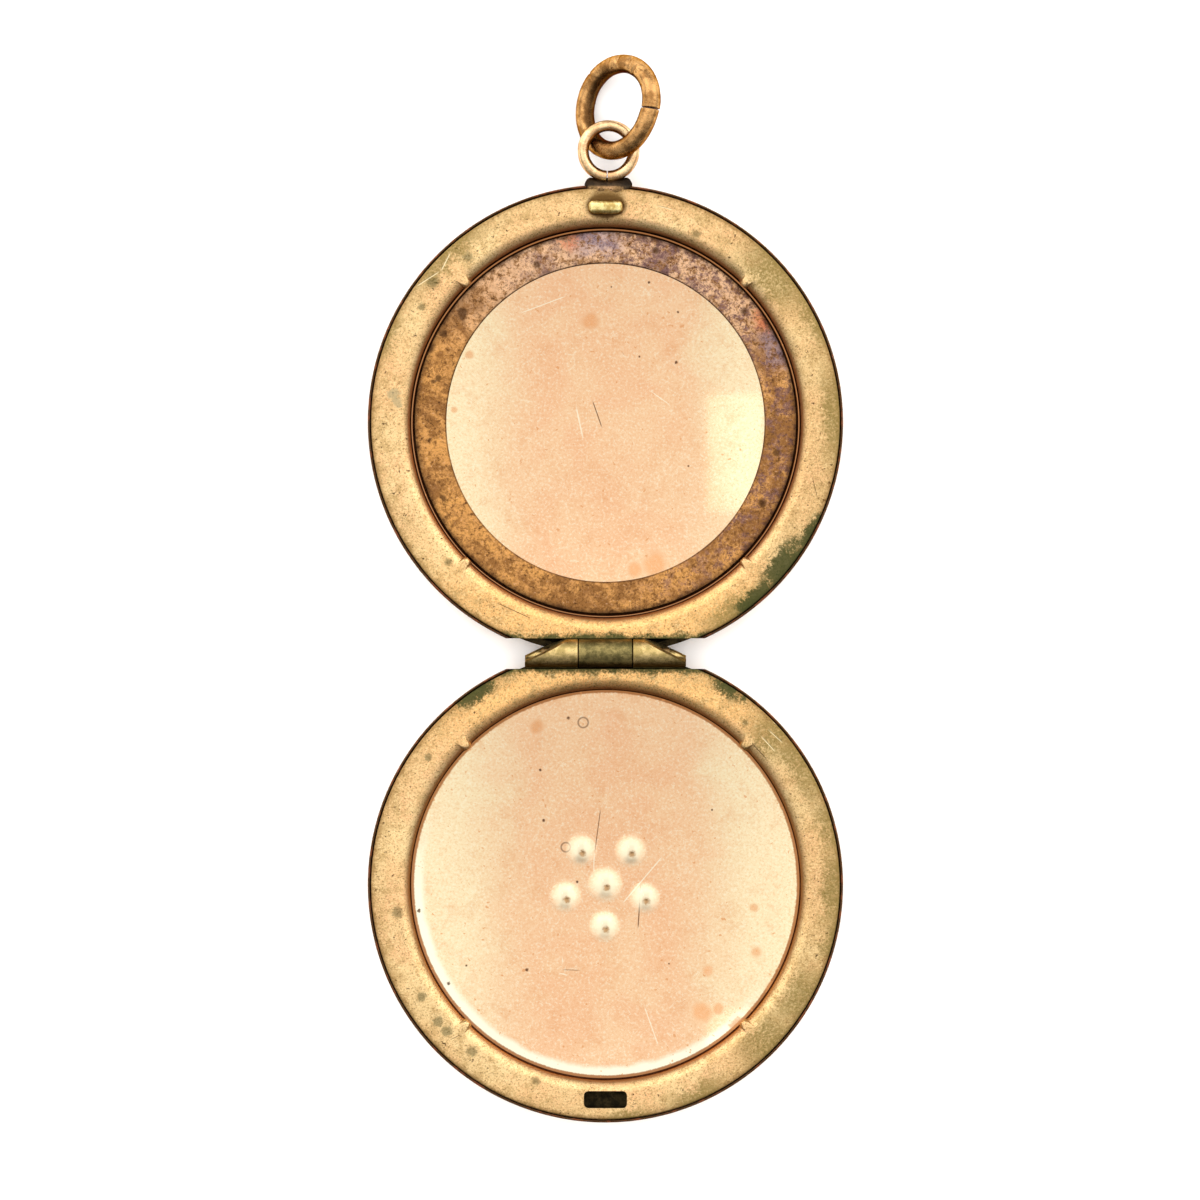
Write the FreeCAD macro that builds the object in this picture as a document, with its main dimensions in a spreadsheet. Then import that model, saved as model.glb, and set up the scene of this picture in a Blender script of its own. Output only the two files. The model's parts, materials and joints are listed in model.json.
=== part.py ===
# Round hinged locket, lying open and flat on its two domed covers.
# Frame: +Z up, table at z = 0, hinge axis along X, back half towards +Y, front half towards -Y.
import FreeCAD, Part
import math
import os
import re
import Sketcher

VECTOR = FreeCAD.Vector
AXES = {"x": VECTOR(1, 0, 0), "y": VECTOR(0, 1, 0), "z": VECTOR(0, 0, 1)}
BACK = 1
FRONT = -1

# Driving dimensions in millimetres and degrees.
DIMENSIONS = {
    # where the hinge axis lies, and how far each half's centre is from it
    "hinge_setback": 4.285,
    "hinge_height": 2.9,
    "centre_to_hinge": 15.6,
    # pressed cover of each half
    "case_radius": 16.0,
    "crown_radius": 140.0,
    "shoulder_radius": 1.5,
    "cover_sheet": 0.3,
    "cover_edge_height": 2.8,
    # rim plate, whose rolled inner edge is the wall of the picture well
    "rim_height": 2.86,
    "rim_sheet": 0.25,
    "well_radius": 13.1,
    "edge_round": 0.9,
    "wall_foot_height": 0.94,
    "nib_width": 0.9,
    "nib_reach_radius": 12.97,
    "nib_root_radius": 13.7,
    "nib_low": 1.95,
    "nib_high": 2.3,
    "nib_first_angle": 45.0,
    # straight seat cut across both halves for the hinge
    "seat_gap": 1.0,
    "seat_floor": 1.3,
    "halves_gap": 0.06,
    # ring that holds the picture in the back well
    "picture_ring_radius": 12.95,
    "picture_window_radius": 10.73,
    "picture_ring_sheet": 0.25,
    "picture_ring_low": 0.905,
    "picture_ring_high": 1.755,
    # hinge tubes, their pin and the bearers that the tubes are soldered in
    "tube_radius": 0.95,
    "bore_radius": 0.4,
    "pin_radius": 0.36,
    "pin_half_length": 4.3,
    "middle_half_length": 1.8,
    "knuckle_gap": 0.06,
    "outer_end": 5.42,
    "end_cut_side": 0.42,
    "end_cut_angle": 26.5,
    "end_cut_lean": 14.0,
    "bearer_end": 5.3,
    "bearer_width": 0.9,
    "bearer_top": 2.45,
    # snap catch, opposite the hinge
    "catch_distance": 14.45,
    "tongue_length": 2.3,
    "tongue_width": 0.95,
    "tongue_rise": 0.95,
    "stem_length": 1.7,
    "stem_width": 0.6,
    "stem_drop": 0.4,
    "slot_length": 2.9,
    "slot_width": 1.15,
    "slot_corner": 0.3,
    # bail: a foot let into the rim, a fixed eye and the free jump ring
    "bail_offset": 0.2,
    "foot_inner": 15.33,
    "foot_middle": 16.0,
    "foot_outer": 16.5,
    "foot_inner_half": 1.35,
    "foot_middle_half": 1.75,
    "foot_outer_half": 1.5,
    "foot_low": 1.6,
    "foot_high": 2.87,
    "eye_distance": 18.2,
    "eye_height": 2.66,
    "eye_radius": 1.7,
    "eye_wire": 0.38,
    "jump_radius": 2.98,
    "jump_wire": 0.63,
    "jump_right": 0.637,
    "jump_away": 2.955,
    "jump_lean": 13.3,
    "jump_tilt": 42.8,
    "jump_seam_angle": 80.0,
    "wire_seam": 0.06,
    # paste stones set from outside in raised cups of the front cover
    "cluster_radius": 2.83,
    "cluster_start": 53.0,
    "cup_base_height": 0.2,
    "cup_base_angle": 30.0,
    "middle_cup_radius": 1.06,
    "outer_cup_radius": 0.98,
    "middle_stone_radius": 0.7,
    "outer_stone_radius": 0.62,
    "stone_table": 0.62,
    "stone_low": 0.04,
    "girdle_low": 0.17,
    "girdle_high": 0.21,
    "pavilion_depth": 0.62,
    "pinhole_radius": 0.11,
    "pinhole_shift": 0.05,
}
CLUSTER_COUNT = 5
NIB_COUNT = 4
REACH = 8.0   # long enough for any cutting tool to pass right through

doc = FreeCAD.newDocument("Locket")
sheet = doc.addObject("Spreadsheet::Sheet", "Sizes")


# ---- helpers -----------------------------------------------------------------

def fill_sheet():
    for row, (name, value) in enumerate(DIMENSIONS.items(), start=1):
        sheet.set(f"A{row}", name)
        sheet.set(f"B{row}", str(value))
        sheet.setAlias(f"B{row}", name)
    doc.recompute()


def size(name):
    return float(sheet.get(name))


def from_sheet(text):
    """The expression with each dimension's name written as Sizes.name."""
    return re.sub(r"[a-z_]+", lambda m: f"Sizes.{m[0]}" if m[0] in DIMENSIONS else m[0], text)


def bind(obj, **expressions):
    for name, text in expressions.items():
        obj.setExpression(name, from_sheet(text))
    return obj


def put(obj, x="0", y="0", z="0", rotation=None):
    """Turn an object about its own origin, then bind where that origin goes."""
    obj.Placement = FreeCAD.Placement(VECTOR(), rotation or FreeCAD.Rotation())
    for letter, text in (("x", x), ("y", y), ("z", z)):
        obj.setExpression(f"Placement.Base.{letter}", from_sheet(text))
    return obj


def from_centre(side, distance):
    """Y of a point on a half's centre line, this far from its centre, away from the hinge."""
    return f"{side} * (centre_to_hinge + {distance}) - hinge_setback"


def box(name, length, width, height, **where):
    """A box that is centred on X, and starts at the given y and z."""
    solid = doc.addObject("Part::Box", name)
    bind(solid, Length=length, Width=width, Height=height)
    where["x"] = f"{where.get('x', '0')} - ({length}) / 2"
    return put(solid, **where)


def rod(name, radius, height, along="z", **where):
    solid = doc.addObject("Part::Cylinder", name)
    bind(solid, Radius=radius, Height=height)
    return put(solid, rotation=FreeCAD.Rotation(AXES["z"], AXES[along]), **where)


def cut(name, base, *tools):
    for number, tool in enumerate(tools, start=1):
        result = doc.addObject("Part::Cut", name if number == len(tools) else f"{name}_step{number}")
        result.Base = base
        result.Tool = tool
        base = result
    return base


def fuse(name, *solids):
    result = doc.addObject("Part::MultiFuse", name)
    result.Shapes = list(solids)
    result.Refine = True
    return result


def body_sketch(body, name, role, height=None, turn=0.0):
    plane = next(item for item in body.Origin.OriginFeatures if item.Role == role)
    sketch = body.newObject("Sketcher::SketchObject", name)
    sketch.AttachmentSupport = [(plane, "")]
    sketch.MapMode = "FlatFace"
    sketch.AttachmentOffset = FreeCAD.Placement(VECTOR(), FreeCAD.Rotation(AXES["z"], turn))
    if height:
        sketch.setExpression("AttachmentOffset.Base.z", from_sheet(height))
    return sketch


def line(start, end):
    return Part.LineSegment(VECTOR(*start, 0), VECTOR(*end, 0))


def arc(centre, radius, start_angle, end_angle):
    circle = Part.Circle(VECTOR(*centre, 0), AXES["z"], radius)
    return Part.ArcOfCircle(circle, math.radians(start_angle), math.radians(end_angle))


def constrain(sketch, *rules):
    for rule in rules:
        sketch.addConstraint(Sketcher.Constraint(*rule))


def dimension(sketch, text, kind, *places):
    """Add a dimension to a sketch and bind it to an expression of the sheet."""
    index = sketch.addConstraint(Sketcher.Constraint(kind, *places, measured(sketch, kind, places)))
    sketch.setExpression(f"Constraints[{index}]", from_sheet(text))


def measured(sketch, kind, places):
    """The value that the sketch as drawn already has for this dimension."""
    if kind == "Radius":
        return sketch.Geometry[places[0]].Radius
    first = sketch.getPoint(places[0], places[1])
    second = sketch.getPoint(places[2], places[3])
    return second.x - first.x if kind == "DistanceX" else second.y - first.y


def revolve(body, sketch, name):
    feature = body.newObject("PartDesign::Revolution", name)
    feature.Profile = sketch
    feature.ReferenceAxis = (sketch, ["V_Axis"])
    feature.Angle = 360.0
    return feature


def half_body(name, side):
    """A body on one half's centre, with its own +Y pointing at the hinge."""
    body = doc.addObject("PartDesign::Body", name)
    turn = 180.0 if side == BACK else 0.0
    return put(body, y=from_centre(side, "0"), rotation=FreeCAD.Rotation(AXES["z"], turn))


# ---- covers ------------------------------------------------------------------

def cover_profile(body):
    """Domed sheet in section: crown arc, shoulder arc and upright edge, at one thickness."""
    crown, shoulder = size("crown_radius"), size("shoulder_radius")
    thick, outer = size("cover_sheet"), size("case_radius")
    edge = size("cover_edge_height")
    middle = outer - shoulder
    rise = crown - math.sqrt((crown - shoulder) ** 2 - middle ** 2)
    bend = math.degrees(math.atan2(rise - crown, middle))
    sketch = body_sketch(body, f"{body.Name}_section", "XZ_Plane")
    sketch.addGeometry([
        arc((0, crown), crown, -90, bend),
        arc((middle, rise), shoulder, bend, 0),
        line((outer, rise), (outer, edge)),
        line((outer, edge), (outer - thick, edge)),
        line((outer - thick, edge), (outer - thick, rise)),
        arc((middle, rise), shoulder - thick, bend, 0),
        arc((0, crown), crown - thick, -90, bend),
        line((0, thick), (0, 0)),
    ], False)
    constrain(
        sketch,
        ("PointOnObject", 0, 3, -2), ("Coincident", 0, 1, -1, 1),
        ("Tangent", 0, 2, 1, 1), ("Tangent", 1, 2, 2, 1), ("Vertical", 2),
        ("Coincident", 2, 2, 3, 1), ("Horizontal", 3), ("Coincident", 3, 2, 4, 1),
        ("Vertical", 4), ("Tangent", 4, 2, 5, 2), ("Coincident", 5, 3, 1, 3),
        ("Tangent", 5, 1, 6, 2), ("Coincident", 6, 3, 0, 3), ("Coincident", 6, 1, 7, 1),
        ("Coincident", 7, 2, 0, 1), ("Vertical", 7),
    )
    dimension(sketch, "crown_radius", "Radius", 0)
    dimension(sketch, "shoulder_radius", "Radius", 1)
    dimension(sketch, "case_radius", "DistanceX", -1, 1, 2, 2)
    dimension(sketch, "cover_edge_height", "DistanceY", -1, 1, 2, 2)
    dimension(sketch, "cover_sheet", "DistanceX", 3, 2, 3, 1)
    return sketch


def cover_blank(name, side):
    body = half_body(name, side)
    revolve(body, cover_profile(body), f"{name}_dish")
    return body


def hinge_seat(name, side):
    """Tool that cuts the straight seat for the hinge, above the seat floor."""
    low_y = f"-{REACH}" if side == BACK else "-seat_gap"
    width = f"{REACH} + seat_gap"
    return box(name, "2 * case_radius", width, "case_radius", y=f"{low_y} - hinge_setback", z="seat_floor")


def parting_tool(name, side):
    """Tool that trims a half just short of the upright plane through the hinge axis."""
    low_y = f"halves_gap - {REACH}" if side == BACK else "-halves_gap"
    return box(name, "2 * case_radius", f"{REACH}", "case_radius", y=f"{low_y} - hinge_setback", z="-seat_floor")


def back_cover(foot):
    blank = cover_blank("back_cover_blank", BACK)
    seat = hinge_seat("back_cover_seat", BACK)
    return cut("back_cover", blank, seat, parting_tool("back_parting", BACK), foot)


def cluster_places():
    """Name, angle, distance, cup radius and stone radius of each stone."""
    places = [("centre", 0.0, "0", "middle_cup_radius", "middle_stone_radius")]
    for number in range(1, CLUSTER_COUNT + 1):
        angle = size("cluster_start") + (number - 1) * 360 / CLUSTER_COUNT
        places.append((str(number), angle, "cluster_radius", "outer_cup_radius", "outer_stone_radius"))
    return places


def stone_place(angle, distance):
    """Expressions for a stone's x, y and the rise of the dome under it."""
    x = f"{distance} * cos({angle} deg)"
    y = f"{from_centre(FRONT, '0')} + {distance} * sin({angle} deg)"
    rise = f"crown_radius - sqrt(crown_radius ^ 2 - ({distance}) ^ 2)"
    return x, y, rise


def stone_cup(label, angle, distance, cup_radius):
    """Rounded boss pressed up inside the cover, over the back of a stone."""
    x, y, rise = stone_place(angle, distance)
    cup = doc.addObject("Part::Sphere", f"cup_{label}")
    bind(cup, Radius=cup_radius, Angle1="cup_base_angle")
    drop = f"{cup_radius} * sin(cup_base_angle * 1 deg)"
    return put(cup, x=x, y=y, z=f"{rise} + cup_base_height - {drop}")


def stone_seat(label, angle, distance, stone_radius):
    """Tools for the straight hole and the cone that a stone sits in, and its pinhole."""
    x, y, rise = stone_place(angle, distance)
    hole = rod(f"seat_hole_{label}", stone_radius, "girdle_high + cover_sheet", x=x, y=y, z=f"{rise} - cover_sheet")
    cone = pavilion(f"seat_cone_{label}", x, y, rise, stone_radius)
    pin_y = f"{y} - pinhole_shift"
    pinhole = rod(f"pinhole_{label}", "pinhole_radius", "case_radius", x=x, y=pin_y, z=rise)
    return [hole, cone, pinhole]


def pavilion(name, x, y, rise, stone_radius):
    cone = doc.addObject("Part::Cone", name)
    bind(cone, Radius1=stone_radius, Height=f"{stone_radius} * pavilion_depth")
    cone.Radius2 = 0
    return put(cone, x=x, y=y, z=f"{rise} + girdle_high")


def front_cover():
    blank = cover_blank("front_cover_blank", FRONT)
    seat = hinge_seat("front_cover_seat", FRONT)
    trimmed = cut("front_cover_trimmed", blank, seat, parting_tool("front_parting", FRONT))
    cups = []
    tools = []
    for label, angle, distance, cup_radius, stone_radius in cluster_places():
        cups.append(stone_cup(label, angle, distance, cup_radius))
        tools += stone_seat(label, angle, distance, stone_radius)
    raised = fuse("front_cover_raised", trimmed, *cups)
    return cut("front_cover", raised, fuse("stone_seats", *tools))


def paste_stone(label, angle, distance, stone_radius):
    """Round stone, table down: crown, girdle and pointed pavilion."""
    x, y, rise = stone_place(angle, distance)
    crown = doc.addObject("Part::Cone", f"stone_crown_{label}")
    bind(crown, Radius1=f"{stone_radius} * stone_table", Radius2=stone_radius, Height="girdle_low - stone_low")
    put(crown, x=x, y=y, z=f"{rise} + stone_low")
    girdle = rod(f"stone_girdle_{label}", stone_radius, "girdle_high - girdle_low", x=x, y=y, z=f"{rise} + girdle_low")
    back = pavilion(f"stone_back_{label}", x, y, rise, stone_radius)
    return fuse(f"paste_stone_{label}", crown, girdle, back)


# ---- rim plates --------------------------------------------------------------

def rim_profile(body):
    """Flat rim in section, with its inner edge rolled down into the wall of the well."""
    top, thick = size("rim_height"), size("rim_sheet")
    outer, wall = size("case_radius") - size("cover_sheet"), size("well_radius")
    bend, foot = size("edge_round"), size("wall_foot_height")
    centre = (wall + bend, top - bend)
    sketch = body_sketch(body, f"{body.Name}_section", "XZ_Plane")
    sketch.addGeometry([
        line((outer, top), (centre[0], top)),
        arc(centre, bend, 90, 180),
        line((wall, centre[1]), (wall, foot)),
        line((wall, foot), (wall + thick, foot)),
        line((wall + thick, foot), (wall + thick, centre[1])),
        arc(centre, bend - thick, 90, 180),
        line((centre[0], top - thick), (outer, top - thick)),
        line((outer, top - thick), (outer, top)),
    ], False)
    constrain(
        sketch,
        ("Horizontal", 0), ("Tangent", 0, 2, 1, 1), ("Tangent", 1, 2, 2, 1), ("Vertical", 2),
        ("Coincident", 2, 2, 3, 1), ("Horizontal", 3), ("Coincident", 3, 2, 4, 1), ("Vertical", 4),
        ("Tangent", 4, 2, 5, 2), ("Coincident", 5, 3, 1, 3), ("Tangent", 5, 1, 6, 1),
        ("Horizontal", 6), ("Coincident", 6, 2, 7, 1), ("Vertical", 7), ("Coincident", 7, 2, 0, 1),
    )
    dimension(sketch, "edge_round", "Radius", 1)
    dimension(sketch, "well_radius", "DistanceX", -1, 1, 3, 1)
    dimension(sketch, "wall_foot_height", "DistanceY", -1, 1, 3, 1)
    dimension(sketch, "rim_sheet", "DistanceX", 3, 1, 3, 2)
    dimension(sketch, "case_radius - cover_sheet", "DistanceX", -1, 1, 7, 2)
    dimension(sketch, "rim_height", "DistanceY", -1, 1, 7, 2)
    return sketch


def nib_outline(body):
    """Round-ended tab that points at the centre of the well."""
    half, root = size("nib_width") / 2, size("nib_root_radius")
    tip_centre = size("nib_reach_radius") + half
    turn = size("nib_first_angle")
    sketch = body_sketch(body, f"{body.Name}_nib", "XY_Plane", height="nib_low", turn=turn)
    sketch.addGeometry([
        line((root, -half), (tip_centre, -half)),
        arc((tip_centre, 0), half, 90, 270),
        line((tip_centre, half), (root, half)),
        line((root, half), (root, -half)),
    ], False)
    constrain(
        sketch,
        ("Horizontal", 0), ("Tangent", 0, 2, 1, 2), ("Tangent", 1, 1, 2, 1), ("Horizontal", 2),
        ("Coincident", 2, 2, 3, 1), ("Vertical", 3), ("Coincident", 3, 2, 0, 1),
        ("PointOnObject", 1, 3, -1),
    )
    dimension(sketch, "nib_width / 2", "Radius", 1)
    dimension(sketch, "nib_reach_radius + nib_width / 2", "DistanceX", -1, 1, 1, 3)
    dimension(sketch, "nib_root_radius", "DistanceX", -1, 1, 3, 1)
    return sketch


def rim_blank(name, side):
    """Rim plate with its four nibs, before the hinge seat and the catch are cut."""
    body = half_body(name, side)
    revolve(body, rim_profile(body), f"{name}_plate")
    nib = body.newObject("PartDesign::Pad", f"{name}_nib_pad")
    nib.Profile = nib_outline(body)
    bind(nib, Length="nib_high - nib_low")
    nibs = body.newObject("PartDesign::PolarPattern", f"{name}_nibs")
    nibs.Originals = [nib]
    nibs.Axis = (nib.Profile[0], ["N_Axis"])
    nibs.Angle = 360.0
    nibs.Occurrences = NIB_COUNT
    body.Tip = nibs
    return body


def back_liner(foot):
    blank = rim_blank("back_liner_blank", BACK)
    seat = hinge_seat("back_liner_seat", BACK)
    middle = from_centre(BACK, "catch_distance - stem_width / 2")
    hole = box("stem_hole", "stem_length", "stem_width", "case_radius", y=middle)
    return cut("back_liner", blank, seat, hole, foot)


def catch_slot():
    """Upright tool with rounded corners for the slot that the tongue snaps into."""
    low_y = from_centre(FRONT, "catch_distance + slot_width / 2")
    solid = box("slot_block", "slot_length", "slot_width", "case_radius", y=low_y)
    doc.recompute()
    corner = size("slot_corner")
    rounded = doc.addObject("Part::Fillet", "slot_tool")
    rounded.Base = solid
    rounded.Edges = [
        (number, corner, corner)
        for number, edge in enumerate(solid.Shape.Edges, start=1)
        if abs(edge.tangentAt(edge.FirstParameter).z) > 0.99
    ]
    return rounded


def front_liner():
    blank = rim_blank("front_liner_blank", FRONT)
    seat = hinge_seat("front_liner_seat", FRONT)
    return cut("front_liner", blank, seat, catch_slot())


def picture_ring():
    """Flat ring with a turned-down outer flange that stands on the floor of the well."""
    y = from_centre(BACK, "0")
    height = "picture_ring_high - picture_ring_low"
    outside = rod("picture_ring_outside", "picture_ring_radius", height, y=y, z="picture_ring_low")
    window = rod("picture_ring_window", "picture_window_radius", "case_radius", y=y)
    under = rod(
        "picture_ring_under", "picture_ring_radius - picture_ring_sheet",
        "picture_ring_high - picture_ring_sheet", y=y,
    )
    return cut("picture_ring", outside, window, under)


# ---- catch -------------------------------------------------------------------

def catch_tongue():
    """Half-round tongue on the back rim, with a stem riveted through the plate."""
    def y(width):
        return from_centre(BACK, f"catch_distance - {width} / 2")

    straight = "tongue_rise - tongue_width / 2"
    block = box("tongue_block", "tongue_length", "tongue_width", straight, y=y("tongue_width"), z="rim_height")
    barrel = rod(
        "tongue_barrel", "tongue_width / 2", "tongue_length", along="x",
        x="-tongue_length / 2", y=from_centre(BACK, "catch_distance"), z=f"rim_height + {straight}",
    )
    stem = box("tongue_stem", "stem_length", "stem_width", "stem_drop", y=y("stem_width"), z="rim_height - stem_drop")
    return fuse("catch_tongue", block, barrel, stem)


# ---- hinge -------------------------------------------------------------------

def along_hinge(name, radius, start, length):
    return rod(name, radius, length, along="x", x=start, y="-hinge_setback", z="hinge_height")


def back_knuckle():
    tube = along_hinge("middle_tube", "tube_radius", "-middle_half_length", "2 * middle_half_length")
    bore = along_hinge("middle_bore", "pin_radius", "-middle_half_length", "2 * middle_half_length")
    return cut("back_knuckle", tube, bore)


def outer_start(hand, length):
    inner = "middle_half_length + knuckle_gap"
    return inner if hand > 0 else f"-({inner}) - ({length})"


def end_trim(name, hand):
    """Wide disc whose flat end trims a tube to the round outline of the closed case."""
    angle = math.radians(90 - size("end_cut_angle"))
    lean = math.radians(size("end_cut_lean"))
    outward = VECTOR(hand * math.cos(angle), math.sin(angle), math.tan(lean)).normalize()
    disc = doc.addObject("Part::Cylinder", name)
    disc.Radius = REACH
    disc.Height = REACH
    return put(
        disc, x=f"{hand} * outer_end", y="-hinge_setback - end_cut_side", z="hinge_height",
        rotation=FreeCAD.Rotation(AXES["z"], outward),
    )


def front_knuckle(label, hand):
    length = "outer_end - middle_half_length - knuckle_gap"
    start = outer_start(hand, length)
    tube = along_hinge(f"{label}_tube", "tube_radius", start, length)
    bore = along_hinge(f"{label}_bore", "bore_radius", start, length)
    return cut(f"front_knuckle_{label}", tube, bore, end_trim(f"{label}_end_trim", hand))


def bearer(name, side, start, length):
    """Strip between the seat and a tube, hollowed to the tube that is soldered in it."""
    solid = doc.addObject("Part::Box", f"{name}_strip")
    bind(solid, Length=length, Width="bearer_width", Height="bearer_top - seat_floor")
    low_y = "seat_gap - bearer_width" if side == BACK else "-seat_gap"
    put(solid, x=start, y=f"{low_y} - hinge_setback", z="seat_floor")
    return cut(name, solid, along_hinge(f"{name}_hollow", "tube_radius", start, length))


def hinge_pieces():
    pin = along_hinge("hinge_pin", "pin_radius", "-pin_half_length", "2 * pin_half_length")
    strip = "bearer_end - middle_half_length - knuckle_gap"
    pieces = [
        pin,
        back_knuckle(),
        bearer("back_hinge_bearer", BACK, "-middle_half_length", "2 * middle_half_length"),
    ]
    for label, hand in (("left", -1), ("right", 1)):
        pieces.append(front_knuckle(label, hand))
        pieces.append(bearer(f"front_hinge_bearer_{label}", FRONT, outer_start(hand, strip), strip))
    return pieces


# ---- bail --------------------------------------------------------------------

def bail_foot():
    """Block of the bail's foot, wider in the middle than at either end."""
    rows = ("foot_inner", "foot_middle", "foot_outer")
    body = doc.addObject("PartDesign::Body", "bail_foot")
    put(body, x="bail_offset", y=from_centre(BACK, "0"))
    sketch = body_sketch(body, "bail_foot_outline", "XY_Plane", height="foot_low")
    left = [(-size(f"{row}_half"), size(row)) for row in rows]
    right = [(-x, y) for x, y in reversed(left)]
    corners = left + right
    sketch.addGeometry([line(a, b) for a, b in zip(corners, corners[1:] + corners[:1])], False)
    count = len(corners)
    constrain(sketch, *[("Coincident", n, 2, (n + 1) % count, 1) for n in range(count)])
    for number, row in enumerate(rows):
        constrain(sketch, ("Symmetric", number, 1, count - 1 - number, 1, -2))
        dimension(sketch, row, "DistanceY", -1, 1, number, 1)
        dimension(sketch, f"2 * {row}_half", "DistanceX", number, 1, count - 1 - number, 1)
    pad = body.newObject("PartDesign::Pad", "bail_foot_pad")
    pad.Profile = sketch
    bind(pad, Length="foot_high - foot_low")
    return body


def eye_ring(name):
    ring = doc.addObject("Part::Torus", name)
    bind(ring, Radius1="eye_radius", Radius2="eye_wire")
    return put(ring, x="bail_offset", y=from_centre(BACK, "eye_distance"), z="eye_height")


def bail_eye():
    """Wire eye, its ends meeting at the foot."""
    low_y = from_centre(BACK, "eye_distance - eye_radius - 2 * eye_wire")
    seam = box("eye_seam", "wire_seam", "3 * eye_wire", "hinge_height * 2", x="bail_offset", y=low_y)
    return cut("bail_eye", eye_ring("eye_ring"), seam)


def jump_ring():
    """Open wire ring that passes through the eye, leaning on it with its right side up."""
    turn = FreeCAD.Rotation(90 - size("jump_lean"), 0, -size("jump_tilt"))
    seam_turn = turn * FreeCAD.Rotation(AXES["z"], -size("jump_seam_angle"))
    where = {
        "x": "bail_offset + jump_right",
        "y": from_centre(BACK, "eye_distance + jump_away"),
        "z": "eye_height",
    }
    ring = doc.addObject("Part::Torus", "jump_ring_wire")
    bind(ring, Radius1="jump_radius", Radius2="jump_wire")
    put(ring, rotation=turn, **where)
    # the seam is a thin upright disc whose rim starts at the middle of the ring
    seam = doc.addObject("Part::Cylinder", "jump_ring_seam")
    bind(seam, Radius="2 * jump_wire", Height="wire_seam")
    out = seam_turn.multVec(AXES["x"]) * size("jump_radius")
    put(
        seam, rotation=seam_turn * FreeCAD.Rotation(AXES["z"], AXES["y"]),
        x=f"{where['x']} + {out.x}", y=f"{where['y']} + {out.y}", z=f"{where['z']} + {out.z}",
    )
    return cut("jump_ring", ring, seam)


# ---- assembly ----------------------------------------------------------------

def build():
    fill_sheet()
    foot = bail_foot()
    pieces = [
        back_cover(foot), back_liner(foot), picture_ring(), catch_tongue(),
        cut("bail_base", foot, eye_ring("eye_seat")), bail_eye(), jump_ring(),
        front_cover(), front_liner(),
    ]
    pieces += hinge_pieces()
    for label, angle, distance, _, stone_radius in cluster_places():
        pieces.append(paste_stone(label, angle, distance, stone_radius))
    doc.recompute()
    return pieces


def check(pieces):
    for obj in doc.Objects:
        if {"Invalid", "Error"} & set(obj.State):
            raise RuntimeError(f"{obj.Label} did not build: {obj.State}")
    for piece in pieces:
        shape = piece.Shape
        if shape.isNull() or not shape.isValid() or len(shape.Solids) != 1:
            raise RuntimeError(f"{piece.Name} is not one valid solid")


def write(pieces):
    os.makedirs("parts", exist_ok=True)
    for piece in pieces:
        piece.Label = piece.Name
        piece.Shape.exportStep(f"parts/{piece.Label}.step")
        print(f"{piece.Label:28s} {piece.Shape.Volume:9.3f} mm3")


locket = build()
check(locket)
write(locket)
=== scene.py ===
import bpy
import bmesh
import json
import math
from mathutils import Matrix, Vector, noise


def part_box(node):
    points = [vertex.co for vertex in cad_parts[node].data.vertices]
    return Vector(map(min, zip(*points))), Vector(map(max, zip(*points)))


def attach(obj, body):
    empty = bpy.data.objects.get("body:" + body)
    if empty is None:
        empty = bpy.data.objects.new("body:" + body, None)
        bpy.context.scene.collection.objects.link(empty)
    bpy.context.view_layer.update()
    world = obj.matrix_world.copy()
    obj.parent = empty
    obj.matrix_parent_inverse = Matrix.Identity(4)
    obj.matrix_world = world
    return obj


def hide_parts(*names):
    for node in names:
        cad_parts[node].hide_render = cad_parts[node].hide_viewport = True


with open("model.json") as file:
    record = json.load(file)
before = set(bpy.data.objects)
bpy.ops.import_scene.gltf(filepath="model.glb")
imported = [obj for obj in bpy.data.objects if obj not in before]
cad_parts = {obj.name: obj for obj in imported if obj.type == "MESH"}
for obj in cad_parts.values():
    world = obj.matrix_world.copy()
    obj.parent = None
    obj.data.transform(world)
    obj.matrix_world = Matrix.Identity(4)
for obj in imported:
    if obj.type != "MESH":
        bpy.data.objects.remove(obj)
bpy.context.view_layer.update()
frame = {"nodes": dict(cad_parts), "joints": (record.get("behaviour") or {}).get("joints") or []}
print("frame loaded")

mm = 0.001
tau = 2 * math.pi

# places that everything below is worked out from, in millimetres in the row frame
def nodeBox(name):
    low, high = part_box(name)
    return Vector(low) / mm, Vector(high) / mm

hingeJoint = next(j for j in frame["joints"] if j["name"] == "cover_hinge")
flopJoint = next(j for j in frame["joints"] if j["name"] == "jump_ring_flop")
hingePoint = Vector(hingeJoint["pos_m"]) / mm
flopPoint = Vector(flopJoint["pos_m"]) / mm
backLow, backHigh = nodeBox("back_cover")
caseRadius = (backHigh.x - backLow.x) / 2
backCentre = Vector((0, backHigh.y - caseRadius, 0))
frontCentre = Vector((0, nodeBox("front_cover")[0].y + caseRadius, 0))
centreToHinge = backCentre.y - hingePoint.y
rimTop = nodeBox("back_liner")[1].z
toBack = Matrix.Translation(backCentre) @ Matrix.Rotation(math.pi, 4, "Z")  # own +Y points at the hinge
toFront = Matrix.Translation(frontCentre)


# node helpers: a Value is a node's output that can be added, multiplied and shaped like a number

def feed(value, socket):
    if isinstance(value, Value):
        socket.id_data.links.new(value.socket, socket)
    else:
        socket.default_value = value

def node(tree, kind, inputs, out=0, **settings):
    made = tree.nodes.new("ShaderNode" + kind)
    for name, setting in settings.items():
        setattr(made, name, setting)
    for name, value in inputs.items():
        feed(value, made.inputs[name])
    return Value(made.outputs[out])

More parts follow.
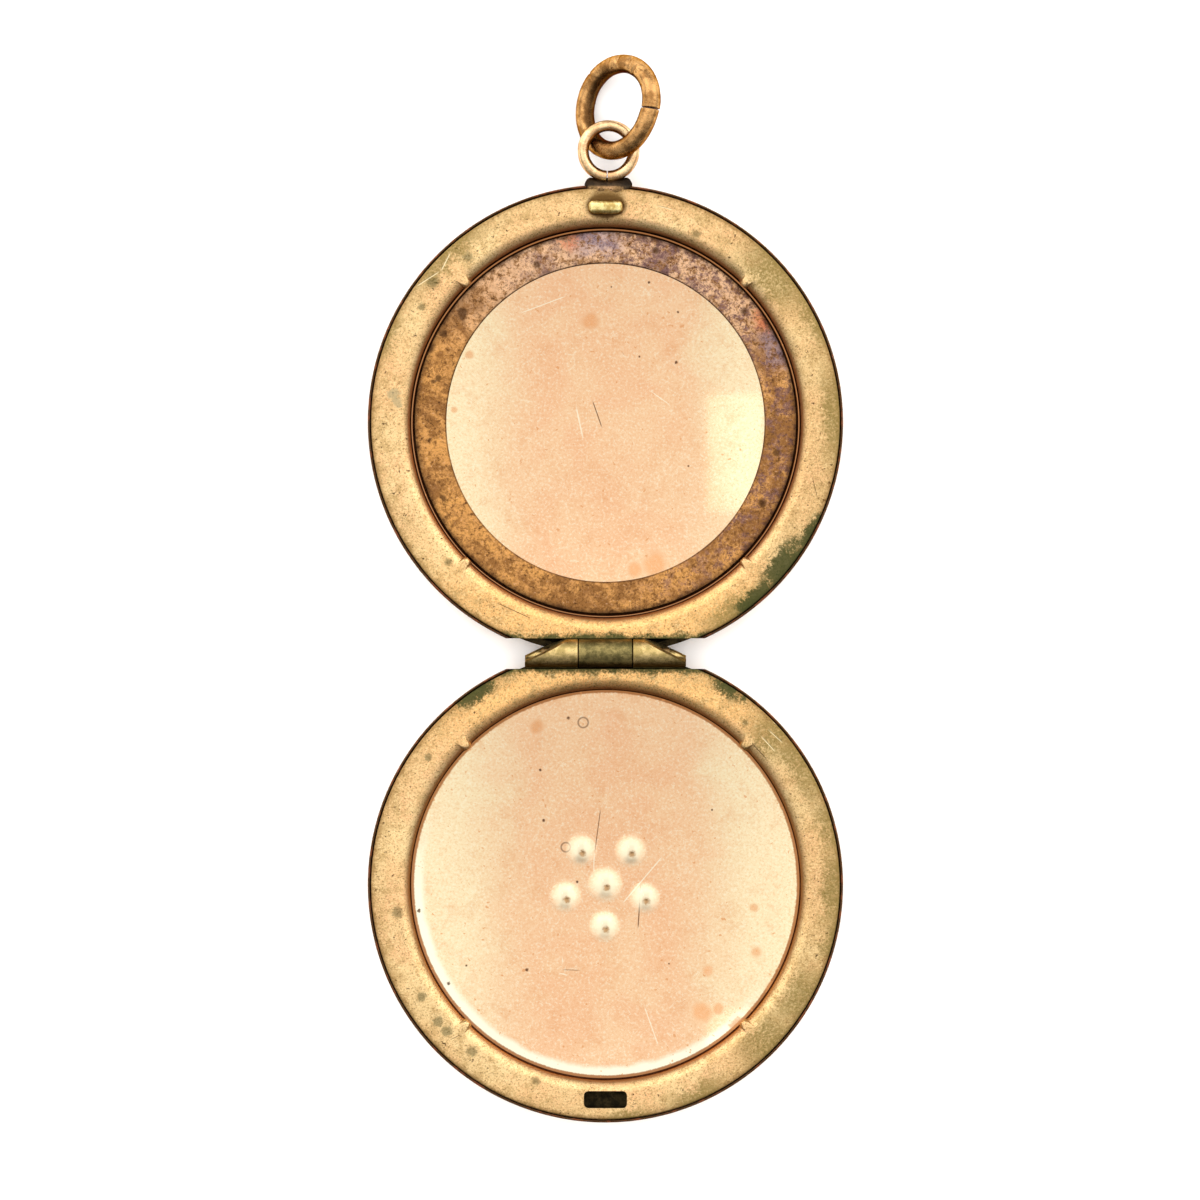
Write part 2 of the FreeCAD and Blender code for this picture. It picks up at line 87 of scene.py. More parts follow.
class Value:
    def __init__(self, socket):
        self.socket = socket
        self.tree = socket.id_data

    def calc(self, kind, *others):
        return node(self.tree, "Math", dict(enumerate((self, *others))), operation=kind)

    def vector(self, kind, *others, out=0):
        return node(self.tree, "VectorMath", dict(enumerate((self, *others))), out, operation=kind)

    def __add__(self, other):
        return self.calc("ADD", other)

    def __sub__(self, other):
        return self.calc("SUBTRACT", other)

    def __mul__(self, other):
        return self.calc("MULTIPLY", other)

    def __abs__(self):
        return self.calc("ABSOLUTE")

    def minus(self, point):
        return self.vector("SUBTRACT", point)

    def times(self, scale):
        return self.vector("MULTIPLY", scale)

    def dot(self, direction):
        return self.vector("DOT_PRODUCT", direction, out="Value")

    def distance(self, point):
        return self.vector("DISTANCE", point, out="Value")

    def length(self):
        return self.vector("LENGTH", out="Value")

    def axis(self, letter):
        return node(self.tree, "SeparateXYZ", {0: self}, letter)

    def noise(self, scale, detail=3.0, roughness=0.55, warp=0.0):
        inputs = {"Vector": self, "Scale": scale, "Detail": detail}
        inputs.update({"Roughness": roughness, "Distortion": warp})
        return node(self.tree, "TexNoise", inputs, "Fac")

    def span(self, low, high, start=0.0, end=1.0):
        inputs = {"Value": self, "From Min": low, "From Max": high, "To Min": start, "To Max": end}
        return node(self.tree, "MapRange", inputs, interpolation_type="SMOOTHSTEP")

    def swing(self, amount):
        # noise turned into a swing about zero
        return (self - 0.5) * amount

    def shifted(self, noiseValue, amount):
        return self + noiseValue.swing(amount)


# camera, floor and light

studio = {
    "cameraHeight": 600,  # above the rims
    "frameWidth": 80.75,  # what the frame takes in at the rims
    "aim": (-0.366, -0.708),
    "tent": 1.06,
    # brightness of the white tent against the direction's Y, then against its X to either side
    "tentAlong": (
        (-1, 0.10), (-0.5, 0.28), (-0.2, 0.88), (0.06, 1.0), (0.4, 1.5), (0.76, 1.5), (0.9, 0.7), (1, 0.5),
    ),
    "tentAside": ((0, 1.0), (0.07, 1.0), (0.2, 1.17), (0.5, 1.4), (0.74, 1.45), (0.9, 0.65), (1, 0.5)),
    "floor": (0.95, 0.946, 0.94, 1),
    # the panels light the floor and stay out of the metal's reflections: place, width, height, watts
    "panels": {
        "ceiling": ((0, 0, 800), 1200, 1200, 6.2),
        "leftPanel": ((-600, 0, 260), 500, 260, 0.9),
        "rightPanel": ((600, 0, 260), 500, 260, 0.9),
        "nearPanel": ((0, -600, 260), 500, 260, 1.1),
    },
    "smallBox": ((-48.6, 32.8, 520), 21, 44, 0.0008),
}

def makeCamera():
    data = bpy.data.cameras.new("camera")
    data.sensor_width = 36
    data.lens = 36 * studio["cameraHeight"] / studio["frameWidth"]
    data.clip_start = 0.01
    data.clip_end = 10
    camera = bpy.data.objects.new("camera", data)
    bpy.context.collection.objects.link(camera)
    camera.location = Vector((*studio["aim"], rimTop + studio["cameraHeight"])) * mm
    bpy.context.scene.camera = camera

def areaLight(name, place, width, height, watts, target=(0, 0, 0), mirrored=False):
    data = bpy.data.lights.new(name, "AREA")
    data.shape = "RECTANGLE"
    data.size = width * mm
    data.size_y = height * mm
    data.energy = watts
    light = bpy.data.objects.new(name, data)
    light.visible_camera = False
    light.visible_glossy = mirrored
    bpy.context.collection.objects.link(light)
    light.location = Vector(place) * mm
    light.rotation_euler = (Vector(target) - Vector(place)).to_track_quat("-Z", "Y").to_euler()

def tentRamp(value, stops, low):
    # stops run from low up to 1 along one direction of the tent
    ramp = value.tree.nodes.new("ShaderNodeValToRGB")
    ramp.color_ramp.interpolation = "EASE"
    elements = ramp.color_ramp.elements
    while len(elements) < len(stops):
        elements.new(0.5)
    for element, (position, bright) in zip(elements, stops):
        element.position = (position - low) / (1 - low)
        element.color = (bright, bright, bright, 1)
    feed(value, ramp.inputs[0])
    return Value(ramp.outputs[0])

def makeStudio():
    scene = bpy.context.scene
    scene.view_settings.view_transform = "Standard"
    scene.view_settings.look = "None"
    world = bpy.data.worlds.new("tent")
    scene.world = world
    world.use_nodes = True
    tree = world.node_tree
    tree.nodes.clear()
    direction = node(tree, "TexCoord", {}, "Generated")
    along = node(tree, "MapRange", {"From Min": -1, "From Max": 1, "Value": direction.axis("Y")})
    along = tentRamp(along, studio["tentAlong"], -1)
    aside = tentRamp(abs(direction.axis("X")), studio["tentAside"], 0)
    back = node(tree, "Background", {"Color": along.times(aside), "Strength": studio["tent"]})
    feed(back, tree.nodes.new("ShaderNodeOutputWorld").inputs[0])
    for name, panel in studio["panels"].items():
        areaLight(name, *panel)
    x, y, height = studio["smallBox"][0]
    areaLight("smallBox", *studio["smallBox"], target=(x, y, 0), mirrored=True)

def makeFloor():
    bm = bmesh.new()
    bmesh.ops.create_grid(bm, x_segments=1, y_segments=1, size=1.5)
    data = bpy.data.meshes.new("floor")
    bm.to_mesh(data)
    bm.free()
    floor = bpy.data.objects.new("floor", data)
    bpy.context.collection.objects.link(floor)
    paper = bpy.data.materials.new("paper")
    paper.use_nodes = True
    shader = paper.node_tree.nodes["Principled BSDF"]
    feed(studio["floor"], shader.inputs["Base Color"])
    feed(0.8, shader.inputs["Roughness"])
    data.materials.append(paper)

makeCamera()
makeStudio()
makeFloor()
print("camera, light and floor made")


# finishes: a Coat is a material in the making, with the colour laid over it so far

def hue(red, green, blue):
    def linear(value):
        value /= 255
        return value / 12.92 if value <= 0.04045 else ((value + 0.055) / 1.055) ** 2.4
    return (linear(red), linear(green), linear(blue), 1)

def mix(mask, first, second):
    return node(mask.tree, "Mix", {0: mask, 6: first, 7: second}, 2, data_type="RGBA")

def most(*masks):
    total = masks[0]
    for mask in masks[1:]:
        total = total.calc("MAXIMUM", mask)
    return total

def spotAt(flat, x, y, radius, ragged):
    away = flat.distance((x, y, 0)) + ragged * radius
    return away.span(radius * 1.2, radius * 0.5)

def arcPatch(flat, radius, ragged, soft, angle, spread, inner):
    # patch that follows the rim from an inner radius out to its edge, ragged all round
    angle, spread = math.radians(angle), math.radians(spread)
    facing = flat.vector("NORMALIZE").dot((math.cos(angle), math.sin(angle), 0))
    off = facing.calc("MINIMUM", 1.0).calc("ARCCOSINE") + ragged * 0.1
    sides = off.span(spread * (1 + soft), spread * (1 - soft))
    depth = radius + ragged * 0.6
    return sides * depth.span(inner - soft * 0.7, inner + soft * 0.7)

def scratchAt(flat, start, end, width):
    start, end = Vector((*start, 0)), Vector((*end, 0))
    length = (end - start).length
    along = (end - start).normalized()
    offset = flat.minus(start)
    side = abs(offset.dot((-along.y, along.x, 0)))
    travel = offset.dot(along)
    return travel.span(0, 0.4) * travel.span(length, length - 0.4) * side.span(width, width * 0.4)

class Coat:
    def __init__(self, name, look, first, centre=None, metallic=1.0):
        self.material = bpy.data.materials.new(name)
        self.material.use_nodes = True
        tree = self.material.node_tree
        self.shader = tree.nodes["Principled BSDF"].inputs
        feed(metallic, self.shader["Metallic"])
        if metallic:
            feed((0.35, 0.24, 0.16, 1), self.shader["Specular Tint"])  # edges seen at a slant go brown
        self.look = look
        self.colour = look[first]
        coord = node(tree, "TexCoord", {}, "Object")
        self.place = node(tree, "VectorMath", {0: coord, "Scale": 1 / mm}, operation="SCALE")
        if centre:
            self.flat = self.place.minus(centre).times((1, 1, 0))
            self.radius = self.flat.length()

    def over(self, shade, mask):
        self.colour = mix(mask, self.colour, self.look[shade])

    def fade(self, shade, value, low, high, amount=1.0):
        # the shade comes in as the value goes from low to high
        self.over(shade, value.span(low, high, 0, amount))

    def spots(self, spots, ragged):
        return most(*[spotAt(self.flat, *spot, ragged) for spot in spots])

    def patches(self, patches, ragged, soft):
        return most(*[arcPatch(self.flat, self.radius, ragged, soft, *patch) for patch in patches])

    def scratches(self, lines):
        return most(*[scratchAt(self.flat, *line) for line in lines])

    def finish(self, roughness, relief, strength, depth):
        bump = {"Strength": strength, "Distance": depth * mm, "Height": relief}
        feed(self.colour, self.shader["Base Color"])
        feed(roughness, self.shader["Roughness"])
        feed(node(relief.tree, "Bump", bump), self.shader["Normal"])
        return self.material


# rim finish: aged gilt sheet, finely speckled

rimLook = {
    "warm": hue(246, 199, 141),
    "rose": hue(248, 192, 138),
    "pale": hue(250, 219, 160),
    "orange": hue(255, 194, 120),
    "dull": hue(196, 160, 104),
    "speckle": hue(118, 88, 48),
    "olive": hue(140, 120, 66),
    "green": hue(70, 78, 42),
    "grey": hue(176, 160, 120),
    "edge": hue(140, 104, 58),
    "rollShade": hue(200, 148, 102),
    "grimeAndShade": hue(56, 28, 10),
    "scratch": hue(252, 232, 184),
}

# angle, spread, inner radius for the patches on the border; x, y, radius for the spots
backRimWear = {
    "green": [(-28.5, 4.2, 15.2), (-38.5, 6.5, 14.5), (-49, 6, 14.95)],
    "olive": [(41, 9, 13.9), (2, 10, 14.8), (27, 8, 15.1), (133, 9, 14.9), (-56, 7, 14.6), (158, 5, 15.3)],
    "spots": [
        (-9.26, 11.1, 0.42), (-12.3, 7.8, 0.3), (-11.6, 9.4, 0.5), (6.1, 12.7, 0.3), (-10.6, -9.4, 0.3),
    ],
    "pale": [(-14.25, 1.85, 0.42), (-14.0, 1.35, 0.35)],
    "scratches": [
        ((-10.4, 11.5), (-11.1, 10.1), 0.06), ((-11.1, 10.2), (-12.8, 9.1), 0.055),
        ((3.4, 14.6), (4.6, 14.3), 0.05),
    ],
    "lines": [((-7.4, -12.1), (-5.0, -13.2), 0.035), ((13.9, -3.6), (14.3, -5.2), 0.03)],
    "catch": True,
}
frontRimWear = {
    "green": [(124, 5, 15.0), (58, 4, 15.1)],
    "olive": [
        (-1, 9, 14.7), (-30, 7, 14.1), (-44, 7, 13.9), (-66, 7, 14.9), (32, 9, 14.5), (42, 5, 13.9),
        (14, 6, 14.9), (-14, 5, 15.1), (-84, 5, 15.3),
    ],
    "spots": [
        (-14.0, -1.8, 0.42), (-11.3, -9.2, 0.42), (-10.7, -9.8, 0.4), (-9.0, -11.2, 0.38),
        (-12.4, -7.5, 0.34), (-4.7, -13.2, 0.34), (9.4, 10.9, 0.3), (-11.9, 8.6, 0.28),
    ],
    "pale": [],
    "scratches": [
        ((10.4, 10.1), (11.5, 8.9), 0.05), ((10.9, 10.5), (12.0, 9.5), 0.045),
        ((11.2, 11.0), (12.5, 10.2), 0.04),
    ],
    "lines": [((9.8, 9.6), (10.9, 8.4), 0.04), ((-10.6, -10.5), (-9.6, -10.0), 0.03)],
    "catch": False,
}

def rimGold(name, centre, hingeSide, wear):
    coat = Coat(name, rimLook, "warm", centre)
    place, flat, radius = coat.place, coat.flat, coat.radius
    cloudy = place.noise(1.1, 5, 0.62)
    grain = place.noise(5.5, 4, 0.8)
    fine = place.noise(8.5, 2, 0.7)
    ragged = cloudy.swing(2.2) + grain.swing(2.6)
    hingeward = flat.axis("Y") * hingeSide
    coat.fade("pale", place.noise(0.22, 3), 0.40, 0.60, 0.7)
    coat.fade("rose", place.noise(0.5, 3), 0.5, 0.66, 0.6)
    coat.fade("orange", hingeward.shifted(cloudy, 5), 8, 12.5, 0.85)
    coat.fade("dull", radius.shifted(cloudy, 2.4), 14.3, 15.9, 0.6)
    coat.fade("dull", flat.axis("X").shifted(cloudy, 10), 3, 17, 0.45)
    coat.fade("dull", cloudy, 0.47, 0.68, 0.65)
    coat.fade("dull", grain, 0.49, 0.64, 0.8)
    coat.fade("speckle", fine, 0.54, 0.68, 0.6)
    coat.fade("pale", fine, 0.46, 0.34, 0.6)
    coat.fade("grimeAndShade", place.noise(3.3, 3, 0.6), 0.665, 0.70, 0.85)
    # partly patina, partly painted shade of the gap against the cover's lip: darker towards the outer edge
    coat.fade("edge", radius + ragged * 0.2, 15.4, 15.8, 0.75)
    coat.over("olive", coat.patches(wear["olive"], ragged, 0.6) * grain.span(0.36, 0.56, 0.35, 0.8))
    spots = coat.spots(wear["spots"], ragged)
    coat.over("green", spots * 0.55)
    green = coat.patches(wear["green"], ragged, 0.3)
    coat.over("green", green * 0.9)
    for spot in wear["pale"]:
        coat.over("grey", spotAt(flat, *spot, ragged) * 0.7)
    # grime along the hinge chord
    chord = (hingeward + ragged * 0.45).span(centreToHinge - 1.55, centreToHinge - 1.0, 0, 0.92)
    coat.over("green", chord)
    # painted shade: the rolled edge turns brown, then nearly black as it goes down into the well, where the
    # gap lies in shadow
    height = place.axis("Z") + ragged * 0.05
    coat.fade("rollShade", height, rimTop - 0.16, rimTop - 0.4, 0.85)
    coat.fade("grimeAndShade", height, rimTop - 0.42, rimTop - 0.66)
    if wear["catch"]:
        # dark ring round the catch: painted shade of a gap round the lug, with dirt; solder speckle up to
        # the bail's foot
        offset = flat.minus((0.05, catch["distance"] + 0.12, 0)).times((0.64, 1, 0))
        around = offset.length() + ragged * 0.13
        coat.fade("speckle", around, 1.02, 0.72, 0.9)
        coat.fade("grimeAndShade", around, 0.92, 0.62, 0.8)
        around = flat.minus((0.1, 15.2, 0)).times((0.5, 1, 0)).length() + ragged * 0.12
        coat.fade("speckle", around, 0.72, 0.4, 0.7)
    scratches = coat.scratches(wear["scratches"])
    coat.over("scratch", scratches * 0.7)
    coat.over("grimeAndShade", coat.scratches(wear["lines"]) * 0.8)
    roughness = grain.span(0.3, 0.8, 0.36, 0.5) + most(green, chord, spots) * 0.2
    return coat.finish(roughness, grain * 0.6 + fine * 0.5 - scratches * 0.6, 0.7, 0.05)


# the stones on the front and the cups they raise inside

cluster = {
    "distance": 2.83,
    "start": 53.0,
    "count": 5,
    "middle": {"stone": 0.7, "cup": 1.32, "rise": 0.13},
    "outer": {"stone": 0.62, "cup": 1.18, "rise": 0.12},
    "table": 0.62,  # share of the stone's radius
    "tableHeight": 0.02,
    "girdle": (0.11, 0.14),
    "pavilion": 0.26,
    "dent": {"shift": (0.09, -0.26), "radius": 0.2, "depth": 0.035},
    "pinhole": 0.045,
    "rayFan": (-32, 0, 32),
    "rayLength": 2.2,
    "rayWidth": 0.13,
    "bead": 0.12,
}

def stonePlaces():
    places = [(Vector((0, 0, 0)), cluster["middle"])]
    for number in range(cluster["count"]):
        angle = math.radians(cluster["start"] + number * 360 / cluster["count"])
        outward = Vector((math.cos(angle), math.sin(angle), 0))
        places.append((outward * cluster["distance"], cluster["outer"]))
    return places


# floor finish: rose gold leaf, glossy, with cream borders from painted reflection and painted highlight

floorLook = {
    "pink": hue(246, 204, 160),
    "rose": hue(244, 194, 150),
    "creamReflection": hue(248, 230, 186),
    "bright": hue(255, 250, 222),
    "orange": hue(222, 152, 94),
    "speck": hue(92, 56, 30),
    "wall": hue(170, 110, 62),
    "cupHighlight": hue(255, 241, 206),
    "dent": hue(184, 134, 80),
}

backFloorWear = {
    "stains": [(-9.2, 4.6, 0.3), (-10.2, 0.9, 0.22), (3.3, -9.6, 0.8), (2.0, -9.9, 0.5), (-1.0, 6.9, 0.5)],
    "scratches": [((1.1, 4.9), (1.3, 4.5), 0.03), ((-0.2, -0.4), (-0.9, 1.6), 0.05)],
    "light": [
        ((-2.0, 1.2), (-1.5, -1.1), 0.07), ((-5.8, 7.4), (-2.6, 8.6), 0.05), ((3.0, 2.2), (4.4, 1.2), 0.04),
    ],
    "specks": [
        (2.95, 9.5, 0.09), (4.9, 7.5, 0.08), (2.3, 4.5, 0.09), (4.8, 4.1, 0.12), (0.4, 9.2, 0.07),
        (5.6, -2.9, 0.07),
    ],
    "ringMarks": [],
    "cups": [],
}
frontFloorWear = {
    "stains": [
        (6.9, -5.9, 0.42), (10.2, -4.6, 0.42), (6.6, -8.7, 0.7), (7.6, -8.4, 0.4), (10.0, -1.6, 0.3),
        (9.0, -9.6, 0.6), (-4.6, 10.6, 0.5), (11.2, -7.0, 0.4),
    ],
    "scratches": [
        ((2.4, 0.1), (2.2, -3.1), 0.055), ((-0.32, 5.1), (-0.74, 2.0), 0.04),
        ((-3.0, -5.8), (-1.6, -5.85), 0.03),
    ],
    "light": [
        ((3.9, 1.9), (1.1, -1.4), 0.06), ((-0.74, 2.2), (-0.8, 0.8), 0.05),
        ((-3.3, -6.0), (-2.4, -6.2), 0.06), ((2.6, -8.2), (3.6, -11.0), 0.05),
        ((-2.9, -4.8), (-2.9, -5.5), 0.06),
    ],
    "specks": [
        (-4.17, 4.28, 0.1), (-1.91, 0.13, 0.08), (-2.5, 11.2, 0.14), (-10.6, -6.7, 0.15),
        (-12.6, -1.8, 0.14), (-5.3, -5.8, 0.12), (-9.4, -5.5, 0.1), (4.3, -5.4, 0.07),
        (-4.4, 7.7, 0.09), (7.2, 5.0, 0.07),
    ],
    "ringMarks": [(-2.68, 2.47, 0.31), (-1.5, 10.9, 0.34)],
    "cups": stonePlaces(),
}

def floorGold(name, centre, wear):
    coat = Coat(name, floorLook, "pink", centre)
    place, flat, radius = coat.place, coat.flat, coat.radius
    cloud = place.noise(0.2, 3, 0.55, 0.5)
    mottle = place.noise(0.8, 4, 0.6)
    grain = place.noise(6.0, 3, 0.75)
    coat.fade("rose", cloud, 0.38, 0.62)
    # painted reflection: cream towards the left and right, where the tent's side light would show in the
    # gloss
    coat.fade("creamReflection", abs(flat.axis("X")).shifted(cloud, 9), 4.5, 10.0, 0.85)
    coat.fade("orange", mottle, 0.50, 0.75, 0.26)
    coat.fade("orange", grain, 0.50, 0.66, 0.3)
    coat.fade("bright", grain, 0.48, 0.34, 0.4)
    # painted highlight: the border is pale on the left and along the bottom
    shine = flat.vector("NORMALIZE").dot((-0.45, -0.89, 0)).span(0.0, 0.6)
    coat.over("bright", shine * radius.shifted(mottle, 0.5).span(12.1, 12.6, 0, 0.95))
    coat.fade("wall", radius.shifted(grain, 0.12), 12.86, 12.96, 0.95)
    ragged = grain.swing(1.8) + mottle.swing(1.6)
    stains = coat.spots(wear["stains"], ragged)
    coat.over("orange", stains * 0.6)
    coat.fade("orange", place.noise(2.9, 2, 0.5), 0.70, 0.73, 0.7)
    coat.over("speck", coat.spots(wear["specks"], ragged) * 0.9)
    scratches = coat.scratches(wear["scratches"])
    coat.over("speck", scratches * 0.85)
    light = coat.scratches(wear["light"])
    coat.over("bright", light * 0.6)
    for x, y, size in wear["ringMarks"]:
        coat.fade("speck", abs(flat.distance((x, y, 0)) - size), 0.08, 0.03, 0.6)
    for spot, size in wear["cups"]:
        # painted highlight: pale over the stones' cups where they would catch the light, brown in the
        # punched dents
        away = flat.distance(spot).shifted(grain, 0.2)
        coat.fade("cupHighlight", away, size["cup"] * 1.08, size["cup"] * 0.3, 0.9)
        x, y = cluster["dent"]["shift"]
        away = flat.distance((spot.x + x, spot.y + y, 0)).shifted(grain, 0.45)
        coat.fade("dent", away, 0.32, 0.1, 0.85)
    roughness = mottle.span(0.3, 0.75, 0.02, 0.045) + most(stains, scratches) * 0.25
    relief = grain * 0.3 + mottle * 0.5 - most(scratches, light) * 0.4
    return coat.finish(roughness, relief, 0.05, 0.02)


# picture ring finish: tarnished in patches

tarnishLook = {
    "gold": hue(224, 162, 90),
    "tan": hue(236, 190, 148),
    "brown": hue(152, 104, 56),
    "purple": hue(118, 86, 86),
    "blue": hue(150, 138, 156),
    "red": hue(214, 110, 66),
    "dark": hue(62, 38, 24),
}

ringStains = {
    "blue": [(93, 7, 11.3), (24, 5, 11.6)],
    "red": [(101, 2.2, 11.9), (33, 2.5, 12.1)],
    "spots": [
        (-11.3, 3.05, 0.25), (-11.6, 2.8, 0.2), (-11.8, 5.0, 0.3), (-10.9, 6.0, 0.28), (-9.6, 7.4, 0.4),
        (11.6, -2.0, 0.3), (-11.9, -1.2, 0.2), (-10.9, -5.1, 0.25), (9.4, 7.5, 0.3), (3.4, 11.6, 0.25),
        (-4.6, 10.7, 0.25), (10.6, -5.4, 0.3),
    ],
}

def tarnish(name, centre):
    coat = Coat(name, tarnishLook, "brown", centre)
    place, flat, radius = coat.place, coat.flat, coat.radius
    cloud = place.noise(0.4, 4, 0.6, 0.8)
    mottle = place.noise(1.6, 5, 0.72)
    blotch = place.noise(2.6, 4, 0.7, 0.6)
    grain = place.noise(6.0, 4, 0.8)
    ragged = mottle.swing(3.0) + grain.swing(2.4)
    facing = flat.vector("NORMALIZE")
    coat.fade("gold", cloud.shifted(mottle, 0.8), 0.38, 0.62)
    high = facing.dot((0.1, 1, 0))
    coat.fade("tan", high.shifted(cloud, 0.8), 0.3, 0.9, 0.95)
    # purple film over the top and the right side, thinner on the left
    film = facing.dot((0.96, 0.28, 0)).shifted(cloud, 0.9).span(-0.4, 0.7, 0.15, 1)
    coat.over("purple", film * mottle.shifted(grain, 0.35).span(0.44, 0.60, 0.05, 0.85))
    top = high.shifted(mottle, 0.5).span(0.72, 0.95)
    coat.over("purple", top * cloud.shifted(grain, 0.4).span(0.42, 0.60, 0, 0.7))
    for shade, amount in (("blue", 0.5), ("red", 0.6)):
        coat.over(shade, coat.patches(ringStains[shade], ragged, 0.6) * amount)
    coat.fade("brown", blotch.shifted(grain, 0.2), 0.48, 0.60, 0.75)
    coat.fade("dark", blotch.shifted(grain, 0.3), 0.58, 0.72, 0.8)
    coat.fade("dark", grain, 0.50, 0.64, 0.65)
    coat.fade("tan", grain, 0.42, 0.30, 0.6)
    coat.over("dark", coat.spots(ringStains["spots"], ragged) * 0.75)
    coat.fade("dark", radius.shifted(mottle, 0.9), 12.45, 12.95, 0.8)
    coat.fade("dark", radius.shifted(grain, 0.1), 10.86, 10.78, 0.6)
    return coat.finish(mottle.span(0.3, 0.75, 0.34, 0.5), mottle * 0.5 + grain * 0.5, 0.5, 0.05)


# one finish for the small solid pieces: clean high spots, tarnish in the noise, painted shade low down

def wornGold(name, look):
    coat = Coat(name, look, "dull")
    place = coat.place
    cloud = place.noise(look["cloudScale"], 4, 0.62)
    grain = place.noise(6.5, 4, 0.78)
    coat.fade("bright", cloud.shifted(grain, 0.4), 0.40, 0.60)
    coat.fade("dark", grain, 0.54, 0.70, look["speckling"])
    # painted shade: darker towards the bottom of the piece
    if "lowShade" in look:
        low, high = look["lowShade"]
        coat.fade("dark", place.axis("Z").shifted(cloud, 0.5), high, low, 0.88)
    if "innerShade" in look:
        # painted shade on the side of a wire ring that faces its middle
        middle, start, end = look["innerShade"]
        coat.fade("dark", place.distance(middle).shifted(cloud, 0.3), end, start, 0.85)
    # painted shade with some grime: darker on the side of the tube towards -Y, away from the hinge's axis
    if "sideShadeAndGrime" in look:
        start, end = look["sideShadeAndGrime"]
        away = place.axis("Y").shifted(grain, 0.5)
        coat.fade("dark", away, hingePoint.y - start, hingePoint.y - end, 0.8)
    for line in look.get("scratches", []):
        # short dark cut seen from above, at any height
        coat.over("dark", scratchAt(place.times((1, 1, 0)), *line) * 0.8)
    roughness = grain.span(0.3, 0.8, *look["roughness"])
    return coat.finish(roughness, cloud * 0.5 + grain * 0.6, look.get("relief", 0.45), 0.05)

eyeMiddle = sum(nodeBox("bail_eye"), Vector()) / 2
smallLooks = {
    "hingeBrass": {
        "bright": hue(226, 196, 132), "dull": hue(176, 152, 94), "dark": hue(60, 54, 26),
        "cloudScale": 1.3, "speckling": 0.8, "roughness": (0.34, 0.46), "sideShadeAndGrime": (0.42, 0.75),
    },
    "bearerBrass": {
        "bright": hue(96, 84, 44), "dull": hue(60, 54, 28), "dark": hue(30, 26, 14),
        "cloudScale": 1.3, "speckling": 0.75, "roughness": (0.45, 0.6),
    },
    "eyeGold": {
        "bright": hue(255, 220, 168), "dull": hue(226, 178, 128), "dark": hue(80, 50, 28),
        "cloudScale": 1.1, "speckling": 0.6, "roughness": (0.18, 0.3), "lowShade": (2.45, 2.85),
        "innerShade": (eyeMiddle, 1.36, 1.56), "relief": 0.5,
    },
    "jumpGold": {
        "bright": hue(206, 156, 98), "dull": hue(150, 106, 60), "dark": hue(70, 44, 22),
        "cloudScale": 1.1, "speckling": 0.8, "roughness": (0.22, 0.34), "relief": 0.6,
        "innerShade": (flopPoint, 2.45, 2.78),
        "scratches": [
            ((0.95, 35.0), (1.35, 34.35), 0.05), ((1.75, 34.9), (2.0, 34.2), 0.06),
            ((2.3, 34.6), (2.5, 34.0), 0.05), ((1.3, 35.4), (1.7, 35.1), 0.05),
            ((2.1, 35.1), (2.6, 34.7), 0.05), ((-0.35, 34.5), (-0.95, 34.6), 0.06),
        ],
    },
    "pinBrass": {
        "bright": hue(150, 122, 80), "dull": hue(92, 70, 42), "dark": hue(40, 30, 18),
        "cloudScale": 2.0, "speckling": 0.6, "roughness": (0.35, 0.5),
    },
    "tongueGold": {
        "bright": hue(252, 232, 160), "dull": hue(200, 168, 98), "dark": hue(50, 42, 22),
        "cloudScale": 1.6, "speckling": 0.6, "roughness": (0.26, 0.4), "lowShade": (3.15, 3.72),
    },
    # painted shade: a darker copy of the outer tubes' brass, for the middle knuckle lying deeper
    "middleBrassInShade": {
        "bright": hue(158, 140, 88), "dull": hue(106, 96, 58), "dark": hue(46, 42, 22),
        "cloudScale": 1.3, "speckling": 0.85, "roughness": (0.38, 0.52), "relief": 0.7,
        "sideShadeAndGrime": (0.5, 0.8),
    },
    # painted shade: near-black for the hollow seen through the slot
    "hollowShade": {
        "bright": hue(74, 62, 40), "dull": hue(44, 38, 26), "dark": hue(24, 20, 14),
        "cloudScale": 1.6, "speckling": 0.6, "roughness": (0.5, 0.65),
    },
}

footLook = {"bright": hue(206, 160, 112), "dull": hue(134, 104, 66), "dark": hue(46, 40, 34)}

def footGold(name):
    # the foot is dark with old solder outside the case line
    coat = Coat(name, footLook, "dull", backCentre)
    cloud = coat.place.noise(1.7, 4, 0.65)
    grain = coat.place.noise(6, 4, 0.8)
    coat.fade("bright", cloud, 0.4, 0.6)
    aside = abs(coat.flat.axis("X"))
    coat.fade("dull", aside.shifted(cloud, 0.8), 0.5, 1.3, 0.7)
    coat.fade("dark", grain, 0.48, 0.64, 0.75)
    outside = coat.flat.axis("Y").shifted(cloud, 0.25)
    coat.fade("dark", outside, 15.8, 15.98, 0.92)
    coat.fade("dark", outside, 15.5, 15.4, 0.7)
    coat.fade("dark", aside.shifted(cloud, 0.5), 1.05, 1.4, 0.85)
    return coat.finish(grain.span(0.3, 0.8, 0.36, 0.52), cloud + grain, 0.8, 0.06)


# outside finish of the covers: brushed gold, dark along the lip and in the hinge seat

skinLook = {
    "bright": hue(232, 192, 132),
    "dull": hue(220, 178, 118),
    "dark": hue(140, 100, 58),
    "patina": hue(70, 44, 28),
    "red": hue(120, 66, 44),
}

